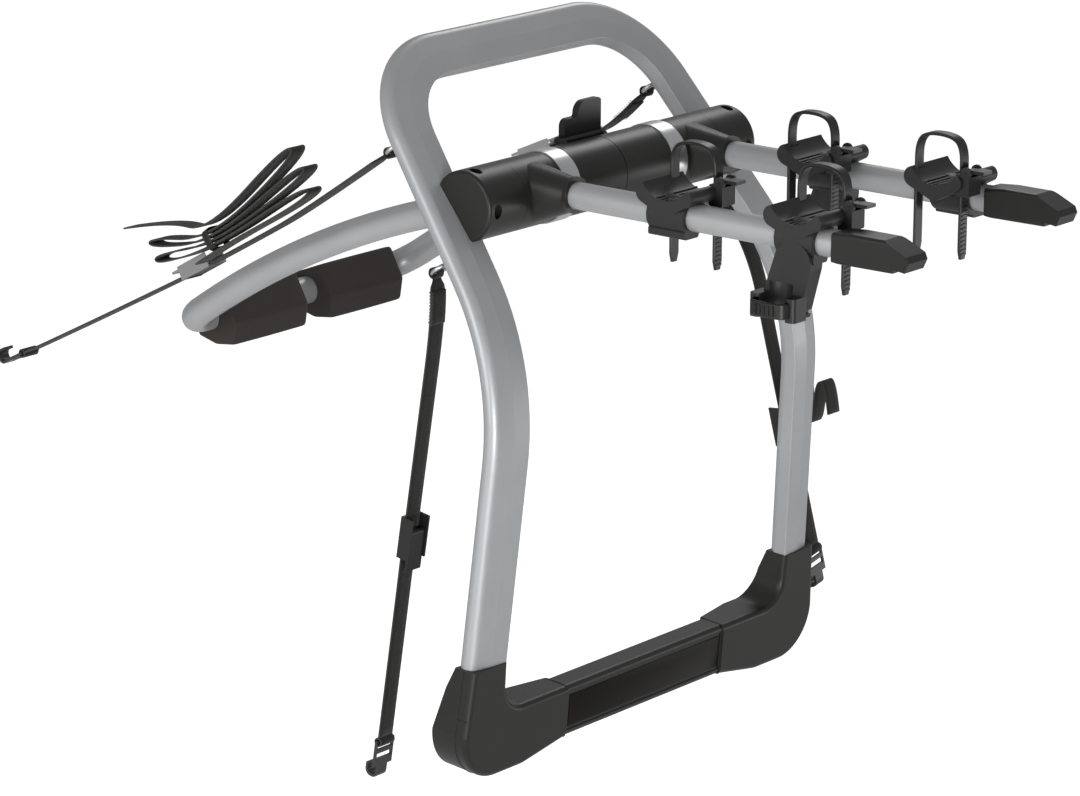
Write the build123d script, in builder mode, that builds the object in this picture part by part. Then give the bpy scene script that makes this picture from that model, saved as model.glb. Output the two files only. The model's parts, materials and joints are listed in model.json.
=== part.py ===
from build123d import *
from math import asin, atan2, cos, degrees, radians, sin, sqrt, tan
import os

# Trunk mounted bike rack. Millimetres, +Z up, +Y towards the car, bikes on the -Y side.
# The origin is the middle of the hub, and the hub's axle runs along X.

os.makedirs("parts", exist_ok=True)

# Fits
overrun = 2.0
seat_gap = 0.3
running_gap = 0.05
tube_fit = 0.1
thrust_gap = 0.4

# Main hoop: the rear inner edge of its tube is the line that the other pieces are set from
hoop_lean = 38.0
station_y = 42.4
station_z = 32.4
top_rise = 119.0
rail_side_gap = 1.5
knee_drop = 254.3
knee_spread = 43.6
foot_y = -84.1
foot_z = -523.0
foot_spread = 20.7
top_corner_radius = 80.0
knee_radius = 304.0
rail_width = 57.0
rail_depth = 26.0
rail_wall = 2.5
rail_crease = 26.0
rail_nose_radius = 12.0
rail_inner_radius = 12.0
rail_edge_radius = 1.5
rail_tenon = 44.0

# Hub
hub_radius = 42.0
axle_radius = 12.5
axle_inset = 13.0
barrel_half = 86.0
barrel_wall = 6.0
barrel_end_wall = 8.0
barrel_groove = 1.2
ring_width = 28.0
ring_radius = 43.5
collar_past = 3.9
cap_width = 65.0
cap_rim_radius = 4.0
cap_screw_radius = 3.2
cap_screw_head_radius = 6.5
cap_screw_rise = 27.0
cap_screw_seat = 9.0
lock_disc_radius = 31.0
lock_disc_width = 14.0
lock_notch = 5.0
lock_notch_count = 12

# Arms
arm_rise = 8.7
arm_radius = 15.9
arm_wall = 2.0
arm_root = 42.0
arm_reach = 500.0
socket_face = 85.0
socket_lip = 5.0
socket_lip_radius = 21.5
socket_neck_radius = 20.0
socket_root = 10.0
socket_root_height = 78.0
socket_root_width = 66.0
socket_side_gap = 0.1
socket_root_round = 28.0
arm_cap_lap = 42.0
arm_cap_length = 103.0
arm_cap_half_width = 18.0
arm_cap_round = 9.0

# Release lever
lever_half = 34.0
lever_step = 9.0
lever_height = 44.0
lever_low_share = 0.6
lever_thickness = 9.0
lever_round = 9.0
lever_pivot_angle = 50.0
lever_pin_radius = 3.0
lever_knuckle_radius = 6.5
lever_lug_width = 6.0
lever_travel = 30.0

# Support hoop
support_side_gap = 1.0
support_tube_radius = 17.4
support_wall = 2.0
support_bend_y = 286.9
support_bend_z = -90.5
support_end_y = 496.0
support_end_z = -229.0
support_bow_radius = 1400.0
support_corner_radius = 44.0
support_eye_radius = 27.0
support_fold_down = 60.0
support_fold_up = 15.0
pad_inner = 23.0
pad_outer = 156.0
pad_width = 81.0
pad_height = 70.0
pad_back_share = 0.43
pad_low_share = 0.46
pad_round = 3.0

# Base
base_shell = 1.8
base_half = 150.0
base_bar_top = 63.0
base_bar_height = 65.0
base_bar_depth = 36.0
base_depth = 50.0
base_drop = 141.0
base_bulge = 8.0
base_bulge_drop = 80.0
base_inner_round = 33.0
base_outer_round = 62.0
base_swell_share = 0.45
base_edge_round = 7.0
base_panel_depth = 1.2
base_panel_rim = 7.0
bumper_pad_length = 260.0
bumper_pad_height = 46.0
bumper_pad_depth = 10.0

# Cradles
cradle_first = 230.0
cradle_near_inset = 91.0
cradle_far_inset = 89.0
cradle_length = 52.0
cradle_wall = 6.0
cradle_jaw = 10.0
cradle_floor = 18.5
cradle_shoulder = 37.0
cradle_knob_radius = 12.0
cradle_knob_offset = 29.0
cradle_outer = 22.0
cradle_inner = 52.0
cradle_rib_count = 5
cradle_rib_width = 3.0
strap_offset = 36.0
strap_width = 15.0
strap_thickness = 4.0
strap_half = 33.0
strap_top = 78.0
strap_tail = 66.0
strap_slot_gap = 0.4
strap_round_share = 0.98
buckle_width = 24.0
buckle_depth = 19.0
buckle_height = 26.0
buckle_base = 9.0
buckle_wall = 3.0
pawl_thickness = 4.0
pawl_length = 22.0
pawl_pin_radius = 2.0
pawl_eye_radius = 4.0

# Anti-sway arms, on one cradle of each carrier arm
sway_places = {"near_outer": -1, "far_inner": 1}
sway_drop = 74.0
sway_width = 50.0
sway_foot_width = 48.0
sway_thickness = 22.0
sway_lean = 11.0
sway_seat_offset = 5.0
sway_seat_radius = 17.0
sway_seat_wall = 9.0
sway_seat_height = 27.0
sway_seat_relief = 12.0
sway_jaw_length = 26.0
sway_jaw_width = 14.0
sway_strap_width = 18.0
sway_strap_thickness = 4.0

# Strap rings on the rails
ring_wire = 2.5
ring_inner = 8.5
ring_shank = 6.0
ring_flange_radius = 7.0
ring_flange = 3.0
top_ring_rise = 57.0
top_ring_offset = 26.0
side_ring_rise = -98.0
side_ring_offset = 38.0

# Webbing straps, cam buckles and hooks
web_width = 25.0
web_thickness = 2.4
web_eye_width = 13.0
web_eye_bore = 4.6
web_eye_inset = 0.7
web_past_cam = 8.0
web_bend_share = 0.45
cam_width = 31.0
cam_length = 52.0
cam_height = 14.0
cam_wall = 2.5
cam_bar_radius = 2.5
cam_bar_bore = 2.9
cam_bar_inset = 6.5
cam_floor_inset = 13.0
cam_pin_radius = 2.5
cam_pin_share = 0.4
cam_roller_radius = 5.0
cam_lever_length = 46.0
cam_lever_thickness = 3.0
hook_width = 31.0
hook_bar = 5.0
hook_bar_bore = 3.5
hook_slot = 7.0
hook_slot_length = 26.0
hook_foot = 10.0
hook_thickness = 3.5
hook_neck_width = 16.0
hook_neck_length = 16.0
hook_round = 7.0
hook_gape = 16.0
hook_lip = 14.0

# Straps in a plane across X, as points (Y, Z) along the middle of the webbing
top_left_run = [(248.0, -42.2), (402.0, -128.5)]
top_left_hook = (735.0, -299.4)
top_right_run = [(165.0, -3.0), (262.0, -46.0)]
top_right_hook = (385.0, -101.0)
side_left_run = [(18.5, -114.0), (61.3, -374.0)]
side_left_hook = (107.6, -664.0)
# This one drifts outward, so its points are (X, Y, Z)
side_right_run = [(278.8, -17.0, -135.0), (318.3, -41.4, -345.0)]
side_right_hook = (355.0, -64.0, -540.0)

# Spare webbing folded into hanks, as points (Y, Z) beside their buckles
top_left_hank = [(398.0, -125.0), (366.6, -102.6), (209.9, -14.8), (218.1, -1.2), (368.8, -99.9),
                 (464.0, -136.5), (468.5, -124.5), (370.9, -97.3), (215.2, 11.6), (224.8, 24.4),
                 (373.1, -94.7), (475.0, -117.0), (477.0, -105.0), (375.2, -92.1), (233.8, 31.5),
                 (246.2, 44.5), (379.0, -83.0), (440.0, -79.0), (519.0, -99.5)]
side_right_hank = [(-47.0, -393.0), (-34.0, -306.0), (-48.0, -306.0), (-52.0, -372.0), (-66.0, -372.0),
                   (-70.0, -316.0), (-84.0, -316.0), (-90.0, -356.0)]
hank_side_gap = 0.3

# Places that follow from these sizes, from the middle of the hub outwards
arm_half = barrel_half + ring_width + socket_side_gap + socket_root_width / 2
collar_end = arm_half + socket_root_width / 2 + collar_past
cap_end = collar_end + cap_width
axle_half = cap_end - axle_inset
support_half = collar_end + support_side_gap + support_tube_radius
shoulder_half = support_half + rail_side_gap
knee_half = shoulder_half + knee_spread
foot_half = knee_half + foot_spread
arm_cap_start = arm_reach - arm_cap_lap
cradle_places = {"near_inner": (-1, cradle_first), "near_outer": (-1, arm_reach - cradle_near_inset),
                 "far_inner": (1, cradle_first), "far_outer": (1, arm_reach - cradle_far_inset)}


def write_piece(piece, name):
    piece.label = name
    export_step(piece, f"parts/{name}.step")


# Main hoop

lean_up = Vector(0, sin(radians(hoop_lean)), cos(radians(hoop_lean)))
lean_front = Vector(0, cos(radians(hoop_lean)), -sin(radians(hoop_lean)))
station = Vector(0, station_y, station_z)
upper_splay = (knee_half - shoulder_half) / (top_rise + knee_drop)
top_middle = station + lean_up * top_rise
shoulder_point = top_middle + Vector(shoulder_half, 0, 0)
knee_point = station - lean_up * knee_drop + Vector(knee_half, 0, 0)
foot_point = Vector(foot_half, foot_y, foot_z)
foot_run = (foot_point - knee_point).normalized()
tenon_end = foot_point + foot_run * rail_tenon


def upper_rail_point(side, rise, offset, depth):
    """Point on a leaning rail: up the lean, outward from the inner edge, towards the car."""
    half = shoulder_half + (top_rise - rise) * upper_splay + offset
    return station + lean_up * rise + lean_front * depth + Vector(side * half, 0, 0)


def hoop_section(plane, grow):
    """Outline of the hoop's tube, flat at the rear and round outside, grown by a clearance."""
    nose = Vector(rail_width - rail_nose_radius, rail_depth - rail_nose_radius)
    to_nose = nose - Vector(rail_crease, 0)
    facet = atan2(to_nose.Y, to_nose.X) - asin(rail_nose_radius / to_nose.length)
    tangent_length = sqrt(to_nose.length ** 2 - rail_nose_radius ** 2)
    tangent = Vector(rail_crease, 0) + Vector(cos(facet), sin(facet)) * tangent_length
    inner = Vector(rail_inner_radius, rail_depth - rail_inner_radius)
    diagonal = Vector(-1, 1).normalized()
    edge = Vector(rail_edge_radius, rail_edge_radius)
    with BuildSketch(plane) as section:
        with BuildLine():
            Line((rail_edge_radius, 0), (rail_crease, 0))
            Line((rail_crease, 0), tangent)
            ThreePointArc(tangent, (rail_width, nose.Y), (nose.X, rail_depth))
            Line((nose.X, rail_depth), (inner.X, rail_depth))
            ThreePointArc((inner.X, rail_depth), inner + diagonal * rail_inner_radius, (0, inner.Y))
            Line((0, inner.Y), (0, rail_edge_radius))
            ThreePointArc((0, rail_edge_radius), edge - Vector(1, 1).normalized() * rail_edge_radius,
                          (rail_edge_radius, 0))
        make_face()
        if grow:
            offset(amount=grow)
    return section.sketch


hoop_start = Plane(origin=top_middle, x_dir=lean_up, z_dir=(-1, 0, 0))

with BuildPart() as main_hoop:
    with BuildLine() as hoop_path:
        FilletPolyline(top_middle, shoulder_point, knee_point, tenon_end,
                       radius=[top_corner_radius, knee_radius])
    sweep(sections=hoop_section(hoop_start, 0), path=hoop_path.line)
    sweep(sections=hoop_section(hoop_start, -rail_wall), path=hoop_path.line, mode=Mode.SUBTRACT)
    mirror(about=Plane.YZ)
write_piece(main_hoop.part, "main_hoop")

# The space that the rails take out of the pieces fitted round them
with BuildPart() as hoop_space:
    with BuildLine() as space_path:
        FilletPolyline(top_middle, shoulder_point, knee_point, tenon_end,
                       radius=[top_corner_radius, knee_radius])
    sweep(sections=hoop_section(hoop_start, seat_gap), path=space_path.line)
    mirror(about=Plane.YZ)

# Hub: axle, notched disc, end caps, barrel, rings and arm sockets

hub_plane = Plane(origin=(0, 0, 0), x_dir=(0, 1, 0), z_dir=(1, 0, 0))


with BuildPart() as hub_axle:
    with BuildSketch(hub_plane.offset(-axle_half)):
        Circle(axle_radius)
    extrude(amount=2 * axle_half)
    chamfer(hub_axle.edges().filter_by(GeomType.CIRCLE), ring_flange / 3)
write_piece(hub_axle.part, "hub_axle")

with BuildPart() as lock_disc:
    with BuildSketch(hub_plane.offset(-lock_disc_width / 2)):
        Circle(lock_disc_radius)
        Circle(axle_radius + seat_gap / 2, mode=Mode.SUBTRACT)
        with PolarLocations(lock_disc_radius, lock_notch_count, start_angle=lever_pivot_angle):
            Rectangle(2 * lock_notch, lock_notch, mode=Mode.SUBTRACT)
    extrude(amount=lock_disc_width)
write_piece(lock_disc.part, "lock_disc")

leg_slope = degrees(atan2(support_bend_z, support_bend_y))
leg_top = leg_slope + support_fold_up
leg_bottom = leg_slope - support_fold_down
slot_width = 2 * (support_tube_radius + thrust_gap)
cap_start = collar_end + thrust_gap
cavity_start = cap_start
cavity_end = support_half + support_tube_radius + thrust_gap

for side, name in ((-1, "left"), (1, "right")):
    side_plane = Plane(origin=(0, 0, 0), x_dir=(0, 1, 0), z_dir=(side, 0, 0))
    with BuildPart() as hub_cap:
        with BuildSketch(side_plane.offset(cap_start)):
            Circle(hub_radius)
        extrude(amount=cap_end - cap_start)
        fillet(hub_cap.faces().sort_by(Axis.X)[0 if side < 0 else -1].edges(), cap_rim_radius)
        with BuildSketch(side_plane.offset(cap_start - overrun)):
            Circle(axle_radius + running_gap)
        extrude(amount=axle_half - cap_start + overrun + thrust_gap, mode=Mode.SUBTRACT)
        with BuildSketch(side_plane.offset(cavity_start - overrun)):
            Circle(support_eye_radius + thrust_gap)
            with BuildLine():
                far = 2 * hub_radius
                top_end = (far * cos(radians(leg_top)), side * far * sin(radians(leg_top)))
                low_end = (far * cos(radians(leg_bottom)), side * far * sin(radians(leg_bottom)))
                middle = radians((leg_top + leg_bottom) / 2)
                Line((0, 0), top_end)
                ThreePointArc(top_end, (far * cos(middle), side * far * sin(middle)), low_end)
                Line(low_end, (0, 0))
            make_face()
            for leg_angle in (leg_top, leg_bottom):
                Rectangle(far, slot_width, rotation=side * leg_angle, align=(Align.MIN, Align.CENTER))
        extrude(amount=cavity_end - cavity_start + overrun, mode=Mode.SUBTRACT)
        screw_x = (cavity_end + cap_end) / 2
        for rise in (-cap_screw_rise, cap_screw_rise):
            screw_plane = Plane(origin=lean_up * rise - lean_front * cap_screw_seat + Vector(side * screw_x, 0, 0),
                                x_dir=(1, 0, 0), z_dir=-lean_front)
            with BuildSketch(screw_plane):
                Circle(cap_screw_head_radius)
            extrude(amount=hub_radius, mode=Mode.SUBTRACT)
            with BuildSketch(screw_plane):
                Circle(cap_screw_radius)
            extrude(amount=-hub_radius, mode=Mode.SUBTRACT)
        add(hoop_space.part, mode=Mode.SUBTRACT)
    cap_body = hub_cap.part.solids().sort_by(SortBy.VOLUME)[-1]
    write_piece(cap_body, f"hub_cap_{name}")

barrel_bore = hub_radius - barrel_wall
lever_pivot = Vector(0, cos(radians(lever_pivot_angle)), sin(radians(lever_pivot_angle))) * (
    hub_radius + lever_knuckle_radius)
latch_length = lever_pivot.length - lock_disc_radius - thrust_gap
latch_sweep = latch_length * sin(radians(lever_travel)) + lock_notch / 2

with BuildPart() as hub_barrel:
    with BuildSketch(hub_plane.offset(-barrel_half)):
        Circle(hub_radius)
    extrude(amount=2 * barrel_half)
    with BuildSketch(hub_plane.offset(-barrel_groove / 2)):
        Circle(hub_radius + overrun)
        Circle(hub_radius - barrel_groove, mode=Mode.SUBTRACT)
    extrude(amount=barrel_groove, mode=Mode.SUBTRACT)
    with BuildSketch(hub_plane.offset(-barrel_half + barrel_end_wall)):
        Circle(barrel_bore)
    extrude(amount=2 * (barrel_half - barrel_end_wall), mode=Mode.SUBTRACT)
    with BuildSketch(hub_plane.offset(-barrel_half - overrun)):
        Circle(axle_radius + running_gap)
    extrude(amount=2 * (barrel_half + overrun), mode=Mode.SUBTRACT)
    # Lugs that carry the lever's pin
    for start in (-lever_half - lever_lug_width - thrust_gap, lever_half + thrust_gap):
        with BuildSketch(hub_plane.offset(start)):
            with Locations((lever_pivot.Y, lever_pivot.Z)):
                Circle(lever_knuckle_radius)
            with Locations((lever_pivot.Y * lever_low_share + barrel_wall, lever_pivot.Z - barrel_wall)):
                Circle(lever_knuckle_radius)
            make_hull()
            Circle(barrel_bore, mode=Mode.SUBTRACT)
            with Locations((lever_pivot.Y, lever_pivot.Z)):
                Circle(lever_pin_radius, mode=Mode.SUBTRACT)
        extrude(amount=lever_lug_width)
    # Window that the latch swings in
    with BuildSketch(Plane(origin=(0, 0, 0), x_dir=(1, 0, 0), z_dir=lever_pivot.normalized())):
        Rectangle(lock_disc_width + 2 * thrust_gap, 2 * (latch_sweep + thrust_gap))
    extrude(amount=2 * hub_radius, mode=Mode.SUBTRACT)
write_piece(hub_barrel.part, "hub_barrel")

with BuildPart() as hub_rings:
    for start in (-barrel_half - ring_width, barrel_half):
        with BuildSketch(hub_plane.offset(start)):
            Circle(ring_radius)
            Circle(axle_radius + running_gap, mode=Mode.SUBTRACT)
        extrude(amount=ring_width)
    chamfer(hub_rings.edges().filter_by(GeomType.CIRCLE).filter_by(lambda e: e.radius > hub_radius),
            ring_radius - hub_radius - barrel_groove / 2)
write_piece(hub_rings.part, "hub_rings")

for side, name in ((-1, "left"), (1, "right")):
    side_plane = Plane(origin=(0, 0, 0), x_dir=(0, 1, 0), z_dir=(side, 0, 0))
    arm_axis = Plane(origin=(side * arm_half, 0, arm_rise), x_dir=(1, 0, 0), z_dir=(0, -1, 0))
    with BuildPart() as arm_socket:
        with BuildSketch(side_plane.offset(barrel_half + ring_width)):
            Circle(hub_radius)
        extrude(amount=collar_end - barrel_half - ring_width)
        with BuildSketch(Plane(origin=(side * arm_half, 0, 0), x_dir=(1, 0, 0), z_dir=(0, -1, 0)).offset(socket_root)):
            RectangleRounded(socket_root_width, socket_root_height, socket_root_round)
        with BuildSketch(arm_axis.offset(socket_face - socket_lip)):
            Circle(socket_neck_radius)
        loft()
        with BuildSketch(arm_axis.offset(socket_face - socket_lip)):
            Circle(socket_lip_radius)
        extrude(amount=socket_lip)
        with BuildSketch(arm_axis.offset(arm_root)):
            Circle(arm_radius + tube_fit)
        extrude(amount=arm_reach, mode=Mode.SUBTRACT)
        with BuildSketch(side_plane.offset(barrel_half)):
            Circle(axle_radius + running_gap)
        extrude(amount=cap_end, mode=Mode.SUBTRACT)
    write_piece(arm_socket.part, f"arm_socket_{name}")

    with BuildPart() as arm_tube:
        with BuildSketch(arm_axis.offset(arm_root)):
            Circle(arm_radius)
            Circle(arm_radius - arm_wall, mode=Mode.SUBTRACT)
        extrude(amount=arm_reach - arm_root)
    write_piece(arm_tube.part, f"arm_{name}")

    # End cap: flat sloping top, beak with an undercut, lower lip
    cap_side = Plane(origin=(side * arm_half, 0, arm_rise), x_dir=(0, -1, 0), z_dir=(-1, 0, 0))
    cap_outline_share = [(0, 1.02), (0.24, 1.15), (0.67, 1.15), (0.97, 0.27), (1, -0.17), (0.95, -0.87),
                         (0.81, -0.75), (0.79, -1.05), (0.74, -1.1), (0.1, -1.14), (0, -1.02)]
    with BuildPart() as arm_cap:
        with BuildSketch(cap_side.offset(-arm_cap_half_width)):
            with BuildLine():
                Polyline([(arm_cap_start + along * arm_cap_length, up * arm_radius)
                          for along, up in cap_outline_share], close=True)
            make_face()
        extrude(amount=2 * arm_cap_half_width)
        long_edges = arm_cap.edges().filter_by(
            lambda e: abs(e.tangent_at(0.5).X) < 0.1 and e.length > arm_cap_round)
        fillet(long_edges.group_by(Axis.Z)[-1] + long_edges.group_by(Axis.Z)[0], arm_cap_round / 2)
        with BuildSketch(arm_axis.offset(arm_cap_start - overrun)):
            Circle(arm_radius + tube_fit)
        extrude(amount=arm_reach - arm_cap_start + overrun + tube_fit, mode=Mode.SUBTRACT)
    write_piece(arm_cap.part, f"arm_cap_{name}")

# Release lever: a stepped paddle behind the hub, with its latch reaching into the notched disc

lever_face = Plane(origin=lever_pivot, x_dir=(1, 0, 0), z_dir=(0, -1, 0))
with BuildPart() as release_lever:
    with BuildSketch(lever_face.offset(-lever_thickness / 2)):
        with BuildLine():
            low = lever_height * lever_low_share
            FilletPolyline((-lever_half, 0), (-lever_half, low), (-lever_step, low),
                           (-lever_step, lever_height), (lever_half, lever_height), (lever_half, 0),
                           radius=[0, lever_round, lever_round / 3, lever_round * 1.6, lever_round / 2, 0],
                           close=True)
        make_face()
    extrude(amount=lever_thickness)
    with BuildSketch(hub_plane.offset(-lever_half)):
        with Locations((lever_pivot.Y, lever_pivot.Z)):
            Circle(lever_knuckle_radius)
    extrude(amount=2 * lever_half)
    with BuildSketch(hub_plane.offset(-lever_half - lever_lug_width)):
        with Locations((lever_pivot.Y, lever_pivot.Z)):
            Circle(lever_pin_radius - running_gap)
    extrude(amount=2 * (lever_half + lever_lug_width))
    latch_plane = Plane(origin=lever_pivot, x_dir=(1, 0, 0), z_dir=-lever_pivot.normalized())
    with BuildSketch(latch_plane):
        Rectangle(lock_disc_width, lock_notch)
    extrude(amount=latch_length)
write_piece(release_lever.part, "release_lever")

# Support hoop: bowed legs that turn on the axle, and the cross tube that carries the foam pads

leg_run = Vector(0, support_bend_y, support_bend_z).normalized()
leg_start = leg_run * (support_eye_radius - overrun * 2)
end_run = Vector(0, support_end_y - support_bend_y, support_end_z - support_bend_z)


def support_corner(side, point):
    return Vector(side * support_half, point.Y, point.Z)


bend = Vector(0, support_bend_y, support_bend_z)
corner = Vector(0, support_end_y, support_end_z)
with BuildPart() as support_hoop:
    with BuildLine() as support_path:
        FilletPolyline(support_corner(-1, leg_start), support_corner(-1, bend), support_corner(-1, corner),
                       support_corner(1, corner), support_corner(1, bend), support_corner(1, leg_start),
                       radius=[support_bow_radius, support_corner_radius,
                               support_corner_radius, support_bow_radius])
    support_start = Plane(origin=support_corner(-1, leg_start), x_dir=(1, 0, 0), z_dir=leg_run)
    with BuildSketch(support_start) as support_outer:
        Circle(support_tube_radius)
    sweep(sections=support_outer.sketch, path=support_path.line)
    with BuildSketch(support_start) as support_inner:
        Circle(support_tube_radius - support_wall)
    sweep(sections=support_inner.sketch, path=support_path.line, mode=Mode.SUBTRACT)
    for side in (-1, 1):
        with BuildSketch(hub_plane.offset(side * support_half - support_tube_radius)):
            Circle(support_eye_radius)
        extrude(amount=2 * support_tube_radius)
        with BuildSketch(hub_plane.offset(side * support_half - support_tube_radius - overrun)):
            Circle(axle_radius + running_gap)
        extrude(amount=2 * (support_tube_radius + overrun), mode=Mode.SUBTRACT)
write_piece(support_hoop.part, "support_hoop")

# Foam pads: chamfered blocks round the cross tube, their broad face towards the car
pad_outline_share = [(0.43, 0.21), (-0.31, 0.54), (-0.58, -0.02), (-0.52, -0.44), (-0.14, -0.5), (0.22, -0.4)]
for side, name in ((-1, "left"), (1, "right")):
    side_plane = Plane(origin=(0, 0, 0), x_dir=(0, 1, 0), z_dir=(side, 0, 0))
    with BuildPart() as support_pad:
        with BuildSketch(side_plane.offset(pad_inner)):
            with BuildLine():
                Polyline([(support_end_y + along * pad_width, side * (support_end_z + up * pad_height))
                          for along, up in pad_outline_share], close=True)
            make_face()
        extrude(amount=pad_outer - pad_inner)
        fillet(support_pad.edges().filter_by(Axis.X), pad_round)
        with BuildSketch(side_plane.offset(pad_inner - overrun)):
            with Locations((support_end_y, side * support_end_z)):
                Circle(support_tube_radius + seat_gap)
        extrude(amount=pad_outer - pad_inner + 2 * overrun, mode=Mode.SUBTRACT)
    write_piece(support_pad.part, f"support_pad_{name}")

# Base: two moulded corners on the rails' feet and the bar between them

foot_angle = atan2(foot_y - knee_point.Y, knee_point.Z - foot_z)
foot_up = Vector(0, -sin(foot_angle), cos(foot_angle))
base_front = Vector(0, cos(foot_angle), sin(foot_angle))


def base_plane(depth):
    """Plane of the rails' rear faces below the knee, moved towards the car."""
    return Plane(origin=Vector(0, foot_y, foot_z) + base_front * depth, x_dir=(1, 0, 0), z_dir=-base_front)


with BuildPart() as base_bar:
    with BuildSketch(base_plane(0)):
        with Locations((0, -base_bar_top - base_bar_height / 2)):
            Rectangle(2 * base_half, base_bar_height)
    extrude(amount=-base_bar_depth)
    fillet(base_bar.edges().filter_by(Axis.X), base_edge_round)
    with BuildSketch(base_plane(0)):
        with Locations((0, -base_bar_top - base_bar_height / 2)):
            Rectangle(2 * base_half - base_panel_rim, base_bar_height - 2 * (base_edge_round + base_panel_depth))
    extrude(amount=-base_panel_depth, mode=Mode.SUBTRACT)
write_piece(base_bar.part, "base_bar")

with BuildPart() as bumper_pad:
    with BuildSketch(base_plane(base_bar_depth)):
        with Locations((0, -base_bar_top - base_bar_height / 2)):
            RectangleRounded(bumper_pad_length, bumper_pad_height, base_edge_round)
    extrude(amount=-bumper_pad_depth)
    fillet(bumper_pad.faces().sort_by(Axis.Y)[-1].edges(), base_edge_round / 2)
write_piece(bumper_pad.part, "bumper_pad")

foot_side = Plane(origin=(0, foot_y, foot_z), x_dir=base_front, z_dir=(1, 0, 0))
for side, name in ((-1, "left"), (1, "right")):
    inner = foot_half - base_shell
    outer = foot_half + rail_width + base_shell
    bar_low = -base_bar_top - base_bar_height
    with BuildPart() as base_corner:
        with BuildSketch(base_plane(-base_shell)):
            with BuildLine():
                FilletPolyline((side * outer, 0), (side * inner, 0), (side * (inner - base_shell), -base_bar_top),
                               (side * base_half, -base_bar_top), (side * base_half, bar_low),
                               (side * (inner - base_inner_round - base_bulge), -base_drop),
                               (side * (outer + base_bulge), -base_drop),
                               (side * (outer + base_bulge), -base_drop + base_outer_round),
                               radius=[0, 0, base_inner_round, 0, 0, base_outer_round, base_outer_round * strap_round_share, 0],
                               close=True)
            make_face()
        extrude(amount=-base_depth - base_shell)
        # The collar is as deep as the rail, and the foot swells towards the car
        swell = base_depth - rail_depth - base_shell
        with BuildSketch(foot_side):
            with BuildLine():
                Polyline([(rail_depth + base_shell, 0), (rail_depth + base_shell, overrun),
                          (base_depth + overrun, overrun), (base_depth + overrun, -base_bulge_drop),
                          (base_depth, -base_bulge_drop),
                          (rail_depth + base_shell + swell * base_swell_share, -base_bulge_drop / 3)], close=True)
            make_face()
        extrude(amount=2 * outer, both=True, mode=Mode.SUBTRACT)
        with BuildSketch(Plane(origin=foot_side.origin + foot_up * overrun, x_dir=(1, 0, 0), z_dir=foot_up)):
            with BuildLine():
                Polyline([(side * (base_half - overrun), base_bar_depth), (side * base_half, base_bar_depth),
                          (side * (inner - base_inner_round), base_depth),
                          (side * (inner - base_inner_round), base_depth + overrun),
                          (side * (base_half - overrun), base_depth + overrun)], close=True)
            make_face()
        extrude(amount=-base_drop - 2 * overrun, mode=Mode.SUBTRACT)
        rear_edges = base_corner.faces().sort_by(Axis.Y)[0].edges()
        seat_edges = rear_edges.filter_by(lambda e: e.center().Z < foot_z - overrun
                                          and abs(e.center().X) > base_half + overrun)
        fillet(seat_edges, base_edge_round)
        add(hoop_space.part, mode=Mode.SUBTRACT)
    write_piece(base_corner.part.solids().sort_by(SortBy.VOLUME)[-1], f"base_corner_{name}")


# Cradles

def arm_view(side, out, across):
    """Side view of a carrier arm at a cradle: local x runs out along the arm, local y is up."""
    return Plane(origin=(side * across, -out, arm_rise), x_dir=(0, -1, 0), z_dir=(-1, 0, 0))


trough_radius = cradle_shoulder
trough_rise = cradle_floor + trough_radius
strap_leg = strap_half - strap_thickness / 2
buckle_start = strap_leg - strap_thickness
buckle_top = buckle_base + buckle_height
pawl_pin_out = buckle_start + buckle_depth * 0.75
pawl_pin_rise = buckle_top + pawl_eye_radius / 2

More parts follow.
